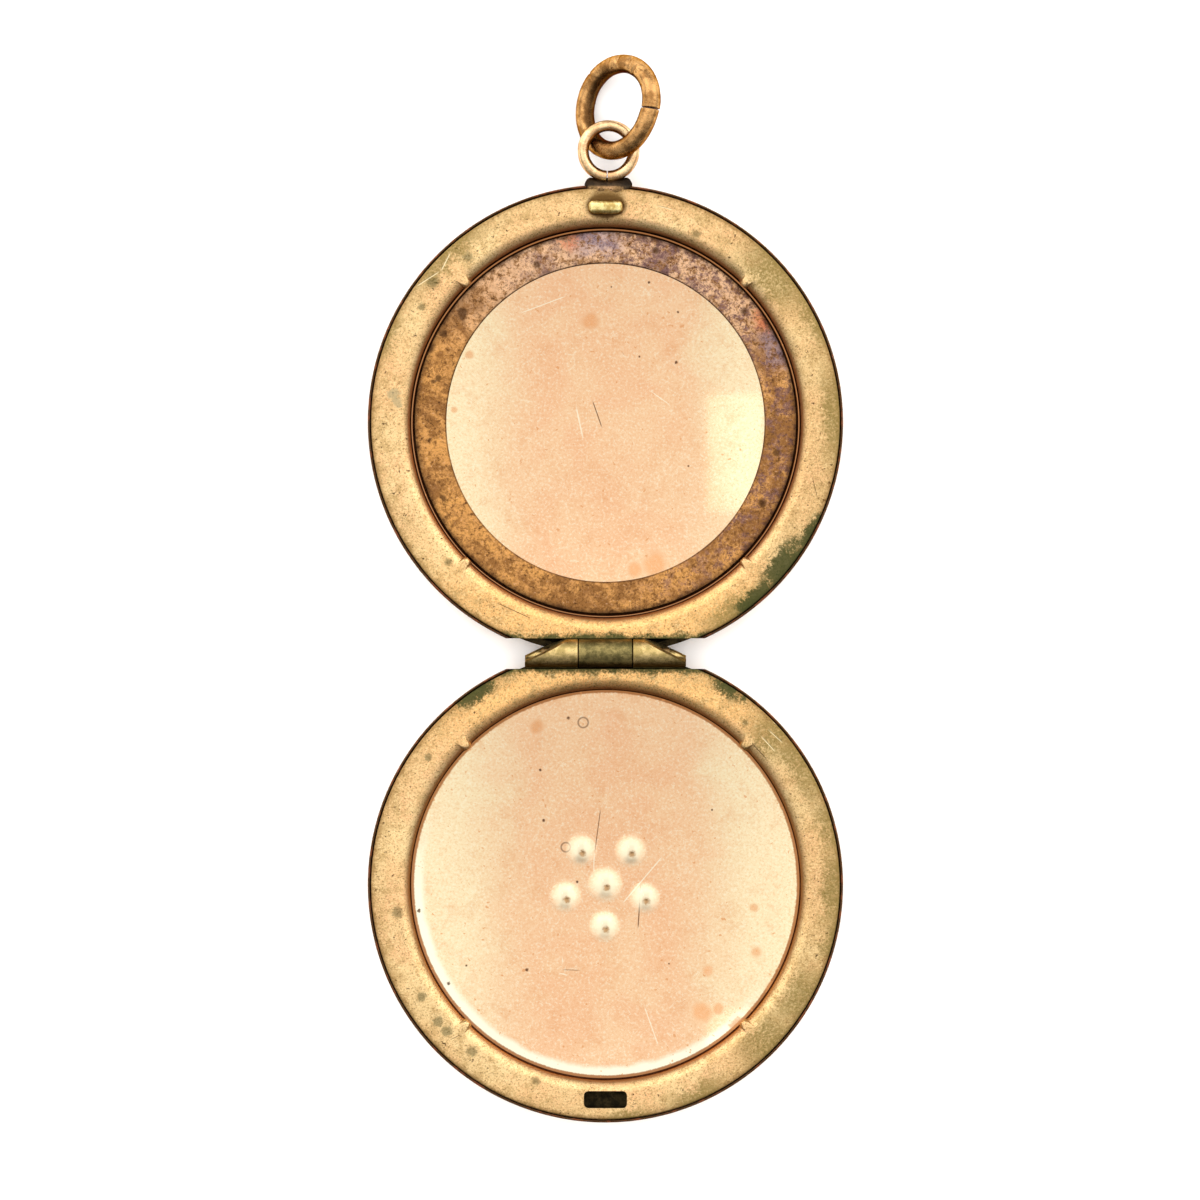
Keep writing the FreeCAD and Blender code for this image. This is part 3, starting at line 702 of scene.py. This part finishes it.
def coverSkin(name, centre):
    coat = Coat(name, skinLook, "bright", centre)
    place, radius = coat.place, coat.radius
    height = place.axis("Z")
    brushed = place.times((0.5, 9, 3)).noise(1.0, 4, 0.65)
    grain = place.noise(6, 4, 0.75)
    coat.fade("dull", place.noise(0.25, 4, 0.6), 0.4, 0.62)
    coat.fade("dull", brushed, 0.45, 0.7, 0.4)
    coat.fade("dark", grain, 0.56, 0.72, 0.5)
    grooves = most(*[abs(radius - middle).span(0.14, 0.05) for middle in cover["grooves"]])
    coat.over("patina", grooves * (height.span(1.2, 0.9) * 0.75))
    lip = height.shifted(grain, 0.5).span(2.2, 2.55, 0, 0.95)
    streaks = place.noise(1.1, 3, 0.6).span(0.5, 0.62)
    coat.colour = mix(lip, coat.colour, mix(streaks, skinLook["patina"], skinLook["red"]))
    hinge = abs(place.axis("Y") - hingePoint.y)
    seat = hinge.shifted(grain, 0.3).span(1.3, 1.1) * height.span(1.0, 1.25)
    coat.over("patina", seat * 0.95)
    roughness = brushed.span(0.3, 0.8, 0.3, 0.44) + most(lip, seat) * 0.12
    return coat.finish(roughness, brushed * 0.5 + grain * 0.4, 0.35, 0.04)

glassLook = {"clear": (0.96, 0.98, 1, 1), "grey": (0.86, 0.9, 0.94, 1), "clearness": 0.6, "bending": 1.65}

def pasteGlass(name):
    coat = Coat(name, glassLook, "clear", metallic=0.0)
    coat.over("grey", coat.place.noise(1.5, 2))
    shader = coat.shader
    feed(coat.colour, shader["Base Color"])
    feed(glassLook["clearness"], shader["Transmission Weight"])
    feed(glassLook["bending"], shader["IOR"])
    feed(0.03, shader["Roughness"])
    return coat.material


# making and settling pieces

def steps(low, high, count):
    return [low + (high - low) * n / count for n in range(count + 1)]

def arcPoints(centre, radius, start, end, count):
    return [
        (centre[0] + radius * math.cos(a), centre[1] + radius * math.sin(a))
        for a in steps(math.radians(start), math.radians(end), count)
    ]

def across(point):
    return math.hypot(point.x, point.y)

def bell(off, width):
    return math.exp(-((off / width) ** 2))

def lathe(outline, count, closed=True):
    # the outline lies in the XZ plane
    bm = bmesh.new()
    verts = [bm.verts.new((r, 0, z)) for r, z in outline]
    pairs = list(zip(verts, verts[1:])) + ([(verts[-1], verts[0])] if closed else [])
    edges = [bm.edges.new(pair) for pair in pairs]
    bmesh.ops.spin(
        bm, geom=verts + edges, cent=(0, 0, 0), axis=(0, 0, 1), angle=tau, steps=count, use_merge=True,
    )
    bmesh.ops.remove_doubles(bm, verts=bm.verts, dist=1e-5)
    return bm

def prism(corners, travel):
    bm = bmesh.new()
    face = bm.faces.new([bm.verts.new(corner) for corner in corners])
    made = bmesh.ops.extrude_face_region(bm, geom=[face])
    moved = [v for v in made["geom"] if isinstance(v, bmesh.types.BMVert)]
    bmesh.ops.translate(bm, vec=travel, verts=moved)
    return bm

def block(length, width, height):
    bm = bmesh.new()
    bmesh.ops.create_cube(bm, size=1)
    bmesh.ops.scale(bm, vec=(length, width, height), verts=bm.verts)
    return bm

def spike(sides, foot, tip, length):
    bm = bmesh.new()
    bmesh.ops.create_cone(bm, cap_ends=True, segments=sides, radius1=foot, radius2=tip, depth=length)
    return bm

def shift(bm, x, y, z):
    bmesh.ops.translate(bm, vec=(x, y, z), verts=bm.verts)

def turn(bm, angle, axis):
    bmesh.ops.rotate(bm, cent=(0, 0, 0), matrix=Matrix.Rotation(angle, 3, axis), verts=bm.verts)

def soften(bm, edges, offset, segments):
    bmesh.ops.bevel(
        bm, geom=edges, offset=offset, segments=segments, profile=0.5, affect="EDGES", material=-1,
    )

def trim(bm, point, outward):
    geom = bm.verts[:] + bm.edges[:] + bm.faces[:]
    bmesh.ops.bisect_plane(bm, geom=geom, dist=1e-5, plane_co=point, plane_no=outward, clear_outer=True)

def capHoles(bm):
    bmesh.ops.holes_fill(bm, edges=[e for e in bm.edges if e.is_boundary], sides=0)

def gather(parts):
    # several shapes that stay clear of each other become one
    whole = bmesh.new()
    for part in parts:
        data = bpy.data.meshes.new("part")
        part.to_mesh(data)
        part.free()
        whole.from_mesh(data)
        bpy.data.meshes.remove(data)
    return whole

def newObject(bm, name, place, sharp=32):
    bmesh.ops.transform(bm, matrix=place, verts=bm.verts)
    bmesh.ops.recalc_face_normals(bm, faces=bm.faces)
    bmesh.ops.scale(bm, vec=(mm, mm, mm), verts=bm.verts)
    data = bpy.data.meshes.new(name)
    bm.to_mesh(data)
    bm.free()
    for face in data.polygons:
        face.use_smooth = True
    data.set_sharp_from_angle(angle=math.radians(sharp))
    piece = bpy.data.objects.new(name, data)
    bpy.context.collection.objects.link(piece)
    return piece

def settle(piece, body, slot, replaced, *coats):
    for coat in coats:
        piece.data.materials.append(finishes[coat])
    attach(piece, body)
    if replaced:
        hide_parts(replaced)

def carve(piece, bm, place):
    # cuts the shape out of the piece, then drops it
    tool = newObject(bm, "tool", place)
    change = piece.modifiers.new("carve", "BOOLEAN")
    change.operation = "DIFFERENCE"
    change.solver = "EXACT"
    change.object = tool
    bpy.context.view_layer.update()
    evaluated = piece.evaluated_get(bpy.context.evaluated_depsgraph_get())
    data = bpy.data.meshes.new_from_object(evaluated)
    piece.modifiers.clear()
    old = piece.data
    name = old.name
    piece.data = data
    bpy.data.meshes.remove(old)
    data.name = name
    bpy.data.objects.remove(tool)
    data.set_sharp_from_angle(angle=math.radians(32))


# pressed covers

cover = {
    "crown": 140.0,
    "shoulder": 1.5,
    "sheet": 0.3,
    "lip": 2.8,
    "lipSheet": 0.16,  # the sheet thins towards the lip
    "floorStep": 0.11,  # ring spacing of the floor where the cups are raised
    "floorFine": 4.6,
    "floorEnd": 12.6,
    "around": 288,
    "grooves": (13.25, 13.7),  # engraved border lines on the outside
    "grooveDepth": 0.06,
    "grooveWidth": 0.16,
    "seatGap": 1.0,
    "seatFloor": 1.3,
    "halvesGap": 0.06,
}

catch = {
    "distance": 14.45,
    "length": 2.3,
    "width": 0.95,
    "rise": 0.95,
    "round": 0.36,
    "stem": (1.7, 0.6, 0.4),
    "slot": (2.9, 1.15),
    "slotCorner": 0.3,
}

def domeHeight(radius):
    return cover["crown"] - math.sqrt(cover["crown"] ** 2 - radius ** 2)

def groove(radius):
    return sum(
        cover["grooveDepth"] * math.exp(-((radius - middle) / cover["grooveWidth"] * 2) ** 2)
        for middle in cover["grooves"]
    )

def dishOutline():
    crown, shoulder, sheet = cover["crown"], cover["shoulder"], cover["sheet"]
    middle = caseRadius - shoulder
    rise = crown - math.sqrt((crown - shoulder) ** 2 - middle ** 2)
    bend = math.degrees(math.atan2(rise - crown, middle))  # where the crown becomes the shoulder
    turnOut = middle + shoulder * math.cos(math.radians(bend))
    fine = steps(0, cover["floorFine"], round(cover["floorFine"] / cover["floorStep"]))
    wide = steps(cover["floorFine"], cover["floorEnd"], 14)[1:]
    border = steps(cover["floorEnd"], turnOut, 22)[1:]
    outer = [(r, domeHeight(r) + groove(r)) for r in fine + wide + border]
    outer += arcPoints((middle, rise), shoulder, bend, 0, 10)[1:]
    thin = cover["lipSheet"]
    lip = arcPoints((caseRadius - thin / 2, cover["lip"] - thin / 2), thin / 2, 0, 180, 8)
    lip += [(caseRadius - thin, cover["lip"] - 0.3), (caseRadius - sheet, cover["lip"] - 0.45)]
    inner = arcPoints((middle, rise), shoulder - sheet, 0, bend, 10)
    inwards = [13.4, 13.05] + list(reversed(fine + wide))  # the floor ends under the rim's wall
    inner += [(r, domeHeight(r) + sheet) for r in inwards]
    return outer + lip + inner

def seatTool():
    # L-shaped cutter across a half, in the half's own place with +Y at the hinge
    chord = centreToHinge - cover["seatGap"]
    part = centreToHinge - cover["halvesGap"]
    far, top, low, floor = centreToHinge + 3, rimTop + 2, -1, cover["seatFloor"]
    corners = [(chord, floor), (chord, top), (far, top), (far, low), (part, low), (part, floor)]
    return prism([(-caseRadius - 1, y, z) for y, z in corners], (2 * caseRadius + 2, 0, 0))

def cupHeight(x, y):
    # soft bump over each stone, with a small punched dent a little to one side of its top
    height = 0
    dent = cluster["dent"]
    for place, size in stonePlaces():
        away = math.hypot(x - place.x, y - place.y) / size["cup"]
        if away < 1:
            height += size["rise"] * (1 - away ** 2) ** 2
        away = math.hypot(x - place.x - dent["shift"][0], y - place.y - dent["shift"][1]) / dent["radius"]
        height -= dent["depth"] * math.exp(-2 * away ** 2)
    return height

def raiseCups(bm):
    for vert in bm.verts:
        radius = across(vert.co)
        if radius < cover["floorFine"] and vert.co.z > domeHeight(radius) + cover["sheet"] / 2:
            vert.co.z += cupHeight(vert.co.x, vert.co.y)

def stoneTool(place, size):
    # the straight hole and the cone that a stone sits in
    girdle = cluster["girdle"][1]
    top = girdle + size["stone"] * cluster["pavilion"]
    bm = lathe([(0, -0.5), (size["stone"], -0.5), (size["stone"], girdle), (0, top)], 32, closed=False)
    shift(bm, place.x, place.y, domeHeight(place.length))
    return bm

def pinholeTool(place):
    bm = spike(16, cluster["pinhole"], cluster["pinhole"], 1.0)
    x, y = cluster["dent"]["shift"]
    shift(bm, place.x + x, place.y + y, domeHeight(place.length) + 0.8)
    return bm

def rayTool(angle, start, length):
    # long thin pyramid that cuts one engraved ray into the outside
    bm = spike(4, cluster["rayWidth"], 0.01, length)
    turn(bm, math.pi / 2, "Y")
    middle = start + length / 2
    shift(bm, middle, 0, domeHeight(middle) - 0.02)
    turn(bm, angle, "Z")
    return bm

def rayTools():
    tools = []
    between = 360 / cluster["count"]
    start = cluster["distance"] + cluster["outer"]["stone"] + 0.35
    for number in range(cluster["count"]):
        angle = cluster["start"] + number * between
        for fan in cluster["rayFan"]:
            length = cluster["rayLength"] * (1 if fan else 1.5)
            tools.append(rayTool(math.radians(angle + fan * 0.5), start, length))
        tools.append(rayTool(math.radians(angle + between / 2), 1.15, cluster["rayLength"]))
    return tools

def makeCover(half, place, centre, cups):
    bm = lathe(dishOutline(), cover["around"], closed=False)
    tools = [seatTool()]
    if cups:
        raiseCups(bm)
        tools.append(gather(stoneTool(*spot) for spot in stonePlaces()))
        tools.append(gather(pinholeTool(spot) for spot, size in stonePlaces()))
        tools.append(gather(rayTools()))
    piece = newObject(bm, half + "Cover", place)
    for tool in tools:
        carve(piece, tool, place)
    coats = (half + "Skin", half + "FloorGold", "hollowShade")
    settle(piece, half + "_case", "cover_gold", half + "_cover", *coats)
    for face in piece.data.polygons:
        at = face.center / mm - centre
        radius = across(at)
        inward = at.x * face.normal.x + at.y * face.normal.y < 0 or face.normal.z > 0.2
        face.material_index = 0
        if inward and at.z > domeHeight(radius) + cover["sheet"] * 0.8 and at.z < 2.4:
            # the well's floor, and the sealed hollow under the rim plate, painted dark as shade
            face.material_index = 1 if radius < rim["wall"] + 0.25 else 2


# rim plates

rim = {
    "wall": 13.1,
    "bend": 0.9,
    "sheet": 0.25,
    "foot": 0.94,
    "around": 720,
    "edgeGap": 0.06,  # dark line between plate and cover
    "edgeRound": 0.08,
    "nibs": 4,
    "nibHalf": 0.4,
    "nibBend": 0.3,  # how tightly the edge turns down at a nib
    "nibWall": 13.0,
    "nibLow": 1.95,
    "nibPit": 0.12,
    "wave": 0.025,
    "waveScale": 0.35,
}

def rimOutline():
    outer = caseRadius - cover["lipSheet"] - rim["edgeGap"]
    centre = (rim["wall"] + rim["bend"], rimTop - rim["bend"])
    corner = rim["edgeRound"]
    points = arcPoints((outer - corner, rimTop - corner), corner, 0, 90, 4)
    points += [(r, rimTop) for r in steps(outer - corner, centre[0], 6)[1:-1]]
    points += arcPoints(centre, rim["bend"], 90, 180, 16)
    points += [(rim["wall"], z) for z in steps(centre[1], rim["foot"], 6)[1:]]
    points += [(rim["wall"] + rim["sheet"], rim["foot"])]
    points += arcPoints(centre, rim["bend"] - rim["sheet"], 180, 90, 8)
    points += [(outer, rimTop - rim["sheet"])]
    return points

def pullNibs(bm):
    # at each nib the flat of the plate reaches further in before it turns down
    bend = (rim["wall"] + rim["bend"], rimTop - rim["bend"])
    tight = rim["nibBend"]
    period = tau / rim["nibs"]
    for vert in bm.verts:
        radius = across(vert.co)
        angle = math.atan2(vert.co.y, vert.co.x)
        off = abs(angle % period - period / 2) * radius
        weight = min(1, max(0, (rim["nibHalf"] - off) / 0.24))
        weight = weight * weight * (3 - 2 * weight)
        if radius > bend[0] + 0.3 or vert.co.z < rim["nibLow"] - 0.3 or weight == 0:
            continue
        pit = rim["nibPit"] * bell(off, 0.2)
        if radius > bend[0]:
            vert.co.z -= pit * bell(radius - bend[0], 0.16)
            continue
        if vert.co.z > bend[1]:
            sweep = math.atan2(vert.co.z - bend[1], radius - bend[0])
            skin = rim["bend"] - math.hypot(radius - bend[0], vert.co.z - bend[1])
            newRadius = rim["nibWall"] + tight + tight * math.cos(sweep) + skin * 0.6
            newHeight = rimTop - tight + tight * math.sin(sweep) - skin * 0.6
            newHeight -= pit * bell(newRadius - bend[0], 0.3)
        else:
            fall = min(1, max(0, (vert.co.z - rim["nibLow"] + 0.3) / 0.3))
            newRadius = radius + (rim["nibWall"] - rim["wall"]) * fall
            newHeight = vert.co.z
        newRadius = radius + (newRadius - radius) * weight
        vert.co.z += (newHeight - vert.co.z) * weight
        vert.co.x *= newRadius / radius
        vert.co.y *= newRadius / radius

def waver(bm, seed):
    # handling has left the thin sheet a little uneven
    for vert in bm.verts:
        at = vert.co * rim["waveScale"] + Vector((seed, seed, 0))
        vert.co.z += rim["wave"] * noise.noise(Vector((at.x, at.y, seed)))

def slotTool():
    bm = block(*catch["slot"], 4)
    upright = [e for e in bm.edges if abs(e.verts[0].co.z - e.verts[1].co.z) > 1]
    soften(bm, upright, catch["slotCorner"], 6)
    shift(bm, 0, -catch["distance"], rimTop)
    return bm

def makeRim(half, place, slotted, seed):
    bm = lathe(rimOutline(), rim["around"])
    pullNibs(bm)
    waver(bm, seed)
    piece = newObject(bm, half + "Rim", place)
    carve(piece, seatTool(), place)
    if slotted:
        carve(piece, slotTool(), place)
    settle(piece, half + "_case", "rim_gold", half + "_liner", half + "RimGold")


# ring that holds the picture

pictureRing = {
    "outer": 12.9,
    "window": 10.73,
    "sheet": 0.25,
    "round": 0.07,
    "around": 360,
    "wave": 0.03,
    "lift": 0.09,
}

def makePictureRing():
    low, high = (corner.z for corner in nodeBox("picture_ring"))
    outer, window, sheet, soft = (pictureRing[key] for key in ("outer", "window", "sheet", "round"))
    outline = arcPoints((window + soft, high - soft), soft, 180, 90, 4)
    outline += [(r, high) for r in steps(window + soft, outer - soft, 6)[1:-1]]
    outline += arcPoints((outer - soft, high - soft), soft, 90, 0, 4)
    outline += [(outer, z) for z in steps(high - soft, low, 4)[1:]]
    outline += [(outer - sheet, low), (outer - sheet, high - sheet), (window, high - sheet)]
    bm = lathe(outline, pictureRing["around"])
    for vert in bm.verts:
        inner = (outer - across(vert.co)) / (outer - window)
        wave = noise.noise(Vector((vert.co.x * 0.25, vert.co.y * 0.25, 4)))
        lift = bell(vert.co.x + 1.0, 1.4) * (1 if vert.co.y > 0 else 0)  # own +Y is the hinge side
        vert.co.z += inner * (pictureRing["wave"] * wave + pictureRing["lift"] * lift)
    piece = newObject(bm, "pictureRing", toBack)
    settle(piece, "picture_frame", "tarnished_gold", "picture_ring", "ringTarnish")


# hinge tubes, rolled with softened ends

hinge = {
    "tube": 0.95,
    "bore": 0.4,
    "middleHalf": 1.8,
    "gap": 0.06,
    "outerEnd": 5.42,
    "cutSide": 0.42,
    "cutAngle": 26.5,
    "cutLean": 14.0,
    "soft": 0.07,
    "around": 72,
    "wear": 0.014,
}

def makeTube(start, end):
    # tube along X with rounded end edges, before it is trimmed
    tube, bore, soft = hinge["tube"], hinge["bore"], hinge["soft"]
    edge = tube - soft * 0.3
    outline = [(bore, start), (tube - soft, start), (edge, start + soft * 0.3), (tube, start + soft)]
    outline += [(tube, x) for x in steps(start, end, 12)[1:-1]]
    outline += [(tube, end - soft), (edge, end - soft * 0.3), (tube - soft, end), (bore, end)]
    bm = lathe(outline, hinge["around"])
    for vert in bm.verts:
        if across(vert.co) > bore + 0.1:
            wear = hinge["wear"] * noise.noise(vert.co * 1.3)
            vert.co.x *= 1 + wear
            vert.co.y *= 1 + wear
    turn(bm, math.pi / 2, "Y")
    return bm

def trimEnd(bm, hand):
    # oblique end that follows the round outline of the case, open end closed between its two rims
    angle = math.radians(90 - hinge["cutAngle"])
    lean = math.tan(math.radians(hinge["cutLean"]))
    outward = Vector((hand * math.cos(angle), math.sin(angle), lean))
    trim(bm, (hand * hinge["outerEnd"], -hinge["cutSide"], 0), outward)
    bmesh.ops.bridge_loops(bm, edges=[e for e in bm.edges if e.is_boundary])

def makeKnuckles():
    inner, outer = hinge["middleHalf"] + hinge["gap"], hinge["outerEnd"]
    place = Matrix.Translation(hingePoint)
    middle = newObject(makeTube(-hinge["middleHalf"], hinge["middleHalf"]), "middleTube", place)
    settle(middle, "back_case", "hinge_brass", "back_knuckle", "middleBrassInShade")
    for side, hand in (("left", -1), ("right", 1)):
        bm = makeTube(*sorted((hand * inner, hand * outer)))
        trimEnd(bm, hand)
        piece = newObject(bm, side + "Tube", place)
        settle(piece, "front_case", "hinge_brass", "front_knuckle_" + side, "hingeBrass")


# catch tongue: a rounded lug on a stem

def makeTongue():
    bm = block(catch["length"], catch["width"], catch["rise"] * 1.3)
    soften(bm, bm.edges[:], catch["round"], 8)
    shift(bm, 0, 0, rimTop + catch["rise"] - catch["rise"] * 0.65)
    trim(bm, (0, 0, rimTop), (0, 0, -1))  # flat underside on the plate
    capHoles(bm)
    for vert in bm.verts:
        if vert.co.z > rimTop + 0.4:
            vert.co.z += 0.05 * noise.noise(vert.co * 1.8) - 0.03
    stem = block(*catch["stem"])
    shift(stem, 0, 0, rimTop - catch["stem"][2] / 2)
    place = Matrix.Translation(backCentre + Vector((0, catch["distance"], 0)))
    piece = newObject(gather([bm, stem]), "catchLug", place)
    settle(piece, "back_case", "rim_gold", "catch_tongue", "tongueGold")


# bail: foot, eye and jump ring

bail = {
    "inner": (15.33, 1.15),
    "middle": (15.95, 1.68),
    "outer": (16.5, 1.4),
    "low": 1.6,
    "slope": 0.35,
    "soft": 0.24,
    "wire": 0.38,
    "seam": 0.07,
}

def makeFoot():
    # lens-shaped pad on the rim, falling away where it leaves the case
    low, high = nodeBox("bail_base")
    rows = [bail[key] for key in ("inner", "middle", "outer")]
    corners = [(-half, y, high.z) for y, half in rows] + [(half, y, high.z) for y, half in reversed(rows)]
    bm = prism(corners, (0, 0, bail["low"] - high.z))
    soften(bm, bm.edges[:], bail["soft"], 4)
    bmesh.ops.triangulate(bm, faces=[f for f in bm.faces if len(f.verts) > 4])
    bmesh.ops.subdivide_edges(bm, edges=bm.edges[:], cuts=3, use_grid_fill=True)
    for vert in bm.verts:
        upper = max(0, (vert.co.z - bail["low"]) / (high.z - bail["low"]))
        beyond = max(0, vert.co.y - bail["middle"][0])
        vert.co.z -= upper * beyond * bail["slope"] / (bail["outer"][0] - bail["middle"][0])
        vert.co.z += 0.05 * upper * noise.noise(vert.co * 1.6)
    place = Matrix.Translation(backCentre + Vector(((low.x + high.x) / 2, 0, 0)))
    piece = newObject(bm, "bailFoot", place)
    settle(piece, "back_case", "bail_gold", "bail_base", "footMetal")

def wireRing(radius, wire, around, section, seamAngle, seam):
    # open wire ring in the XY plane, its two ends facing each other across the seam
    gap = seam / radius
    bm = bmesh.new()
    circle = []
    for angle in steps(0, tau, section)[:-1]:
        x, z = math.cos(angle), math.sin(angle)
        circle.append(bm.verts.new((radius + wire * x, 0, wire * z)))
    edges = [bm.edges.new((a, b)) for a, b in zip(circle, circle[1:] + circle[:1])]
    turn(bm, seamAngle + gap / 2, "Z")
    bmesh.ops.spin(bm, geom=circle + edges, cent=(0, 0, 0), axis=(0, 0, 1), angle=tau - gap, steps=around)
    capHoles(bm)
    soften(bm, [e for e in bm.edges if any(len(f.verts) > 4 for f in e.link_faces)], 0.05, 3)
    return bm

def makeEye():
    low, high = nodeBox("bail_eye")
    wire = bail["wire"]
    bm = wireRing((high.x - low.x) / 2 - wire, wire, 160, 24, -math.pi / 2 - 0.05, bail["seam"])
    for vert in bm.verts:
        angle = math.atan2(vert.co.y, vert.co.x)
        wear = 1 + 0.012 * noise.noise(vert.co * 1.1)
        vert.co.x *= wear
        vert.co.y *= wear
        vert.co.z *= 1 + 0.1 * math.cos(angle - 2.5)  # worn thinner at the lower right
    piece = newObject(bm, "bailEye", Matrix.Translation((low + high) / 2))
    settle(piece, "back_case", "bail_gold", "bail_eye", "eyeGold")

jump = {
    "wire": 0.63,
    "around": 400,
    "section": 32,
    "seamAngle": -84.0,
    "seam": 0.07,
    "seamSlip": 0.07,  # the two ends don't quite meet
    "pinch": 0.1,  # the arm past the seam is bent in
    "egg": 0.04,
    "nick": 57.0,
    "nickDeep": 0.1,
    # place round the ring, which side of the wire, depth
    "dents": (
        (9.7, 0.35, 0.12), (-22.0, -0.1, 0.14), (-9.0, 0.5, 0.1), (-31.0, 0.4, 0.1), (24.0, 0.2, 0.08),
        (-15.0, 0.0, 0.1),
    ),
}

def makeJumpRing():
    # the ring's tilt and radius follow from its box and from the joint's axis, which is its long axis
    low, high = nodeBox("jump_ring")
    wire = jump["wire"]
    up, reach = (high.z - low.z) / 2 - wire, (high.y - low.y) / 2 - wire
    long = -Vector(flopJoint["axis"]).normalized()
    radius = math.sqrt((reach ** 2 + (up * long.x) ** 2))
    tilt = math.asin(up / radius)
    right = Vector((long.y, -long.x, 0))
    short = right * math.cos(tilt) + Vector((0, 0, math.sin(tilt)))
    place = Matrix.Identity(4)
    for column, axis in enumerate((long, -short, long.cross(-short))):
        for row in range(3):
            place[row][column] = axis[row]
    place.translation = flopPoint
    seamAngle = jump["seamAngle"]
    bm = wireRing(radius, wire, jump["around"], jump["section"], math.radians(seamAngle), jump["seam"])
    for vert in bm.verts:
        angle = math.atan2(vert.co.y, vert.co.x)
        degrees = math.degrees(angle)
        outward = Vector((math.cos(angle), math.sin(angle), 0))
        middle = outward * radius
        out = vert.co - middle
        side = out.normalized()
        depth = 0.014 * noise.noise(vert.co * 1.2) + 0.006 * noise.noise(vert.co * 5)
        for at, lean, deep in jump["dents"]:
            off = math.radians(degrees - at) * radius
            facing = side.dot(outward * lean + Vector((0, 0, math.sqrt(1 - lean * lean))))
            depth -= deep * bell(off, 0.13) * max(0, facing) ** 8
        off = math.radians(degrees - jump["nick"]) * radius
        facing = max(0, side.dot((outward + Vector((0, 0, 0.8))).normalized()))
        depth -= jump["nickDeep"] * bell(off, 0.06) * facing ** 2
        vert.co = middle + out * (1 + depth / wire)
        before = (seamAngle - degrees) % 360
        vert.co.z -= jump["seamSlip"] * math.exp(-before / 14)
        vert.co -= outward * jump["pinch"] * bell(before - 4, 34)
        vert.co.y += jump["egg"] * math.sin(2 * angle)
    piece = newObject(bm, "jumpRing", place)
    settle(piece, "chain_link", "ring_gold", "jump_ring", "jumpGold")


# paste stones, cut with a table, a crown and a shallow back

def makeStones():
    table, lowGirdle, highGirdle = cluster["tableHeight"], *cluster["girdle"]
    for number, (place, size) in enumerate(stonePlaces()):
        stone = size["stone"] - 0.012
        back = stone * cluster["pavilion"]
        rings = (
            (stone * cluster["table"], table, 8, 0.5),
            (stone * 0.86, (table + lowGirdle) / 2 + 0.012, 8, 0.0),
            (stone, lowGirdle, 16, 0.0),
            (stone, highGirdle, 16, 0.0),
            (stone * 0.5, highGirdle + back * 0.55, 8, 0.5),
            (stone * 0.06, highGirdle + back * 0.94, 8, 0.0),
        )
        bm = bmesh.new()
        for radius, height, count, twist in rings:
            for step in range(count):
                angle = (step + twist) * tau / count
                bm.verts.new((radius * math.cos(angle), radius * math.sin(angle), height))
        bmesh.ops.convex_hull(bm, input=bm.verts[:])
        shift(bm, place.x, place.y, domeHeight(place.length))
        label = str(number) if number else "centre"
        piece = newObject(bm, "stone_" + label, toFront, sharp=4)
        settle(piece, "front_case", "paste_glass", "paste_stone_" + label, "pasteClear")

def makeGrains():
    # beads of metal raised over each stone's edge to hold it
    beads = []
    for place, size in stonePlaces():
        for quarter in range(4):
            angle = math.pi / 4 + quarter * math.pi / 2
            at = place + Vector((math.cos(angle), math.sin(angle), 0)) * (size["stone"] + 0.06)
            bead = bmesh.new()
            bmesh.ops.create_uvsphere(bead, u_segments=14, v_segments=10, radius=cluster["bead"])
            bmesh.ops.scale(bead, vec=(1, 1, 0.8), verts=bead.verts)
            shift(bead, at.x, at.y, max(0.1, domeHeight(at.length) + 0.05))
            beads.append(bead)
    piece = newObject(gather(beads), "stoneGrains", toFront)
    settle(piece, "front_case", "cover_gold", None, "frontSkin")


finishes = {"footMetal": footGold("footMetal"), "pasteClear": pasteGlass("pasteClear")}
finishes["ringTarnish"] = tarnish("ringTarnish", backCentre)
for half, centre, hingeSide, rimWear, floorWear in (
    ("back", backCentre, -1, backRimWear, backFloorWear),
    ("front", frontCentre, 1, frontRimWear, frontFloorWear),
):
    finishes[half + "RimGold"] = rimGold(half + "RimGold", centre, hingeSide, rimWear)
    finishes[half + "FloorGold"] = floorGold(half + "FloorGold", centre, floorWear)
    finishes[half + "Skin"] = coverSkin(half + "Skin", centre)
for name, look in smallLooks.items():
    finishes[name] = wornGold(name, look)
print("finishes made")

makeCover("back", toBack, backCentre, False)
makeCover("front", toFront, frontCentre, True)
print("covers made")
makeRim("back", toBack, False, 3.0)
makeRim("front", toFront, True, 8.0)
print("rim plates made")
makePictureRing()
makeKnuckles()
makeTongue()
makeFoot()
makeEye()
makeJumpRing()
makeStones()
makeGrains()
print("small pieces made")

# the hinge pin and the bearers keep their shape from the frame
for kept, coat in {
    "back_hinge_bearer": "bearerBrass",
    "front_hinge_bearer_left": "bearerBrass",
    "front_hinge_bearer_right": "bearerBrass",
    "hinge_pin": "pinBrass",
}.items():
    for slot in frame["nodes"][kept].material_slots:
        slot.material = finishes[coat]
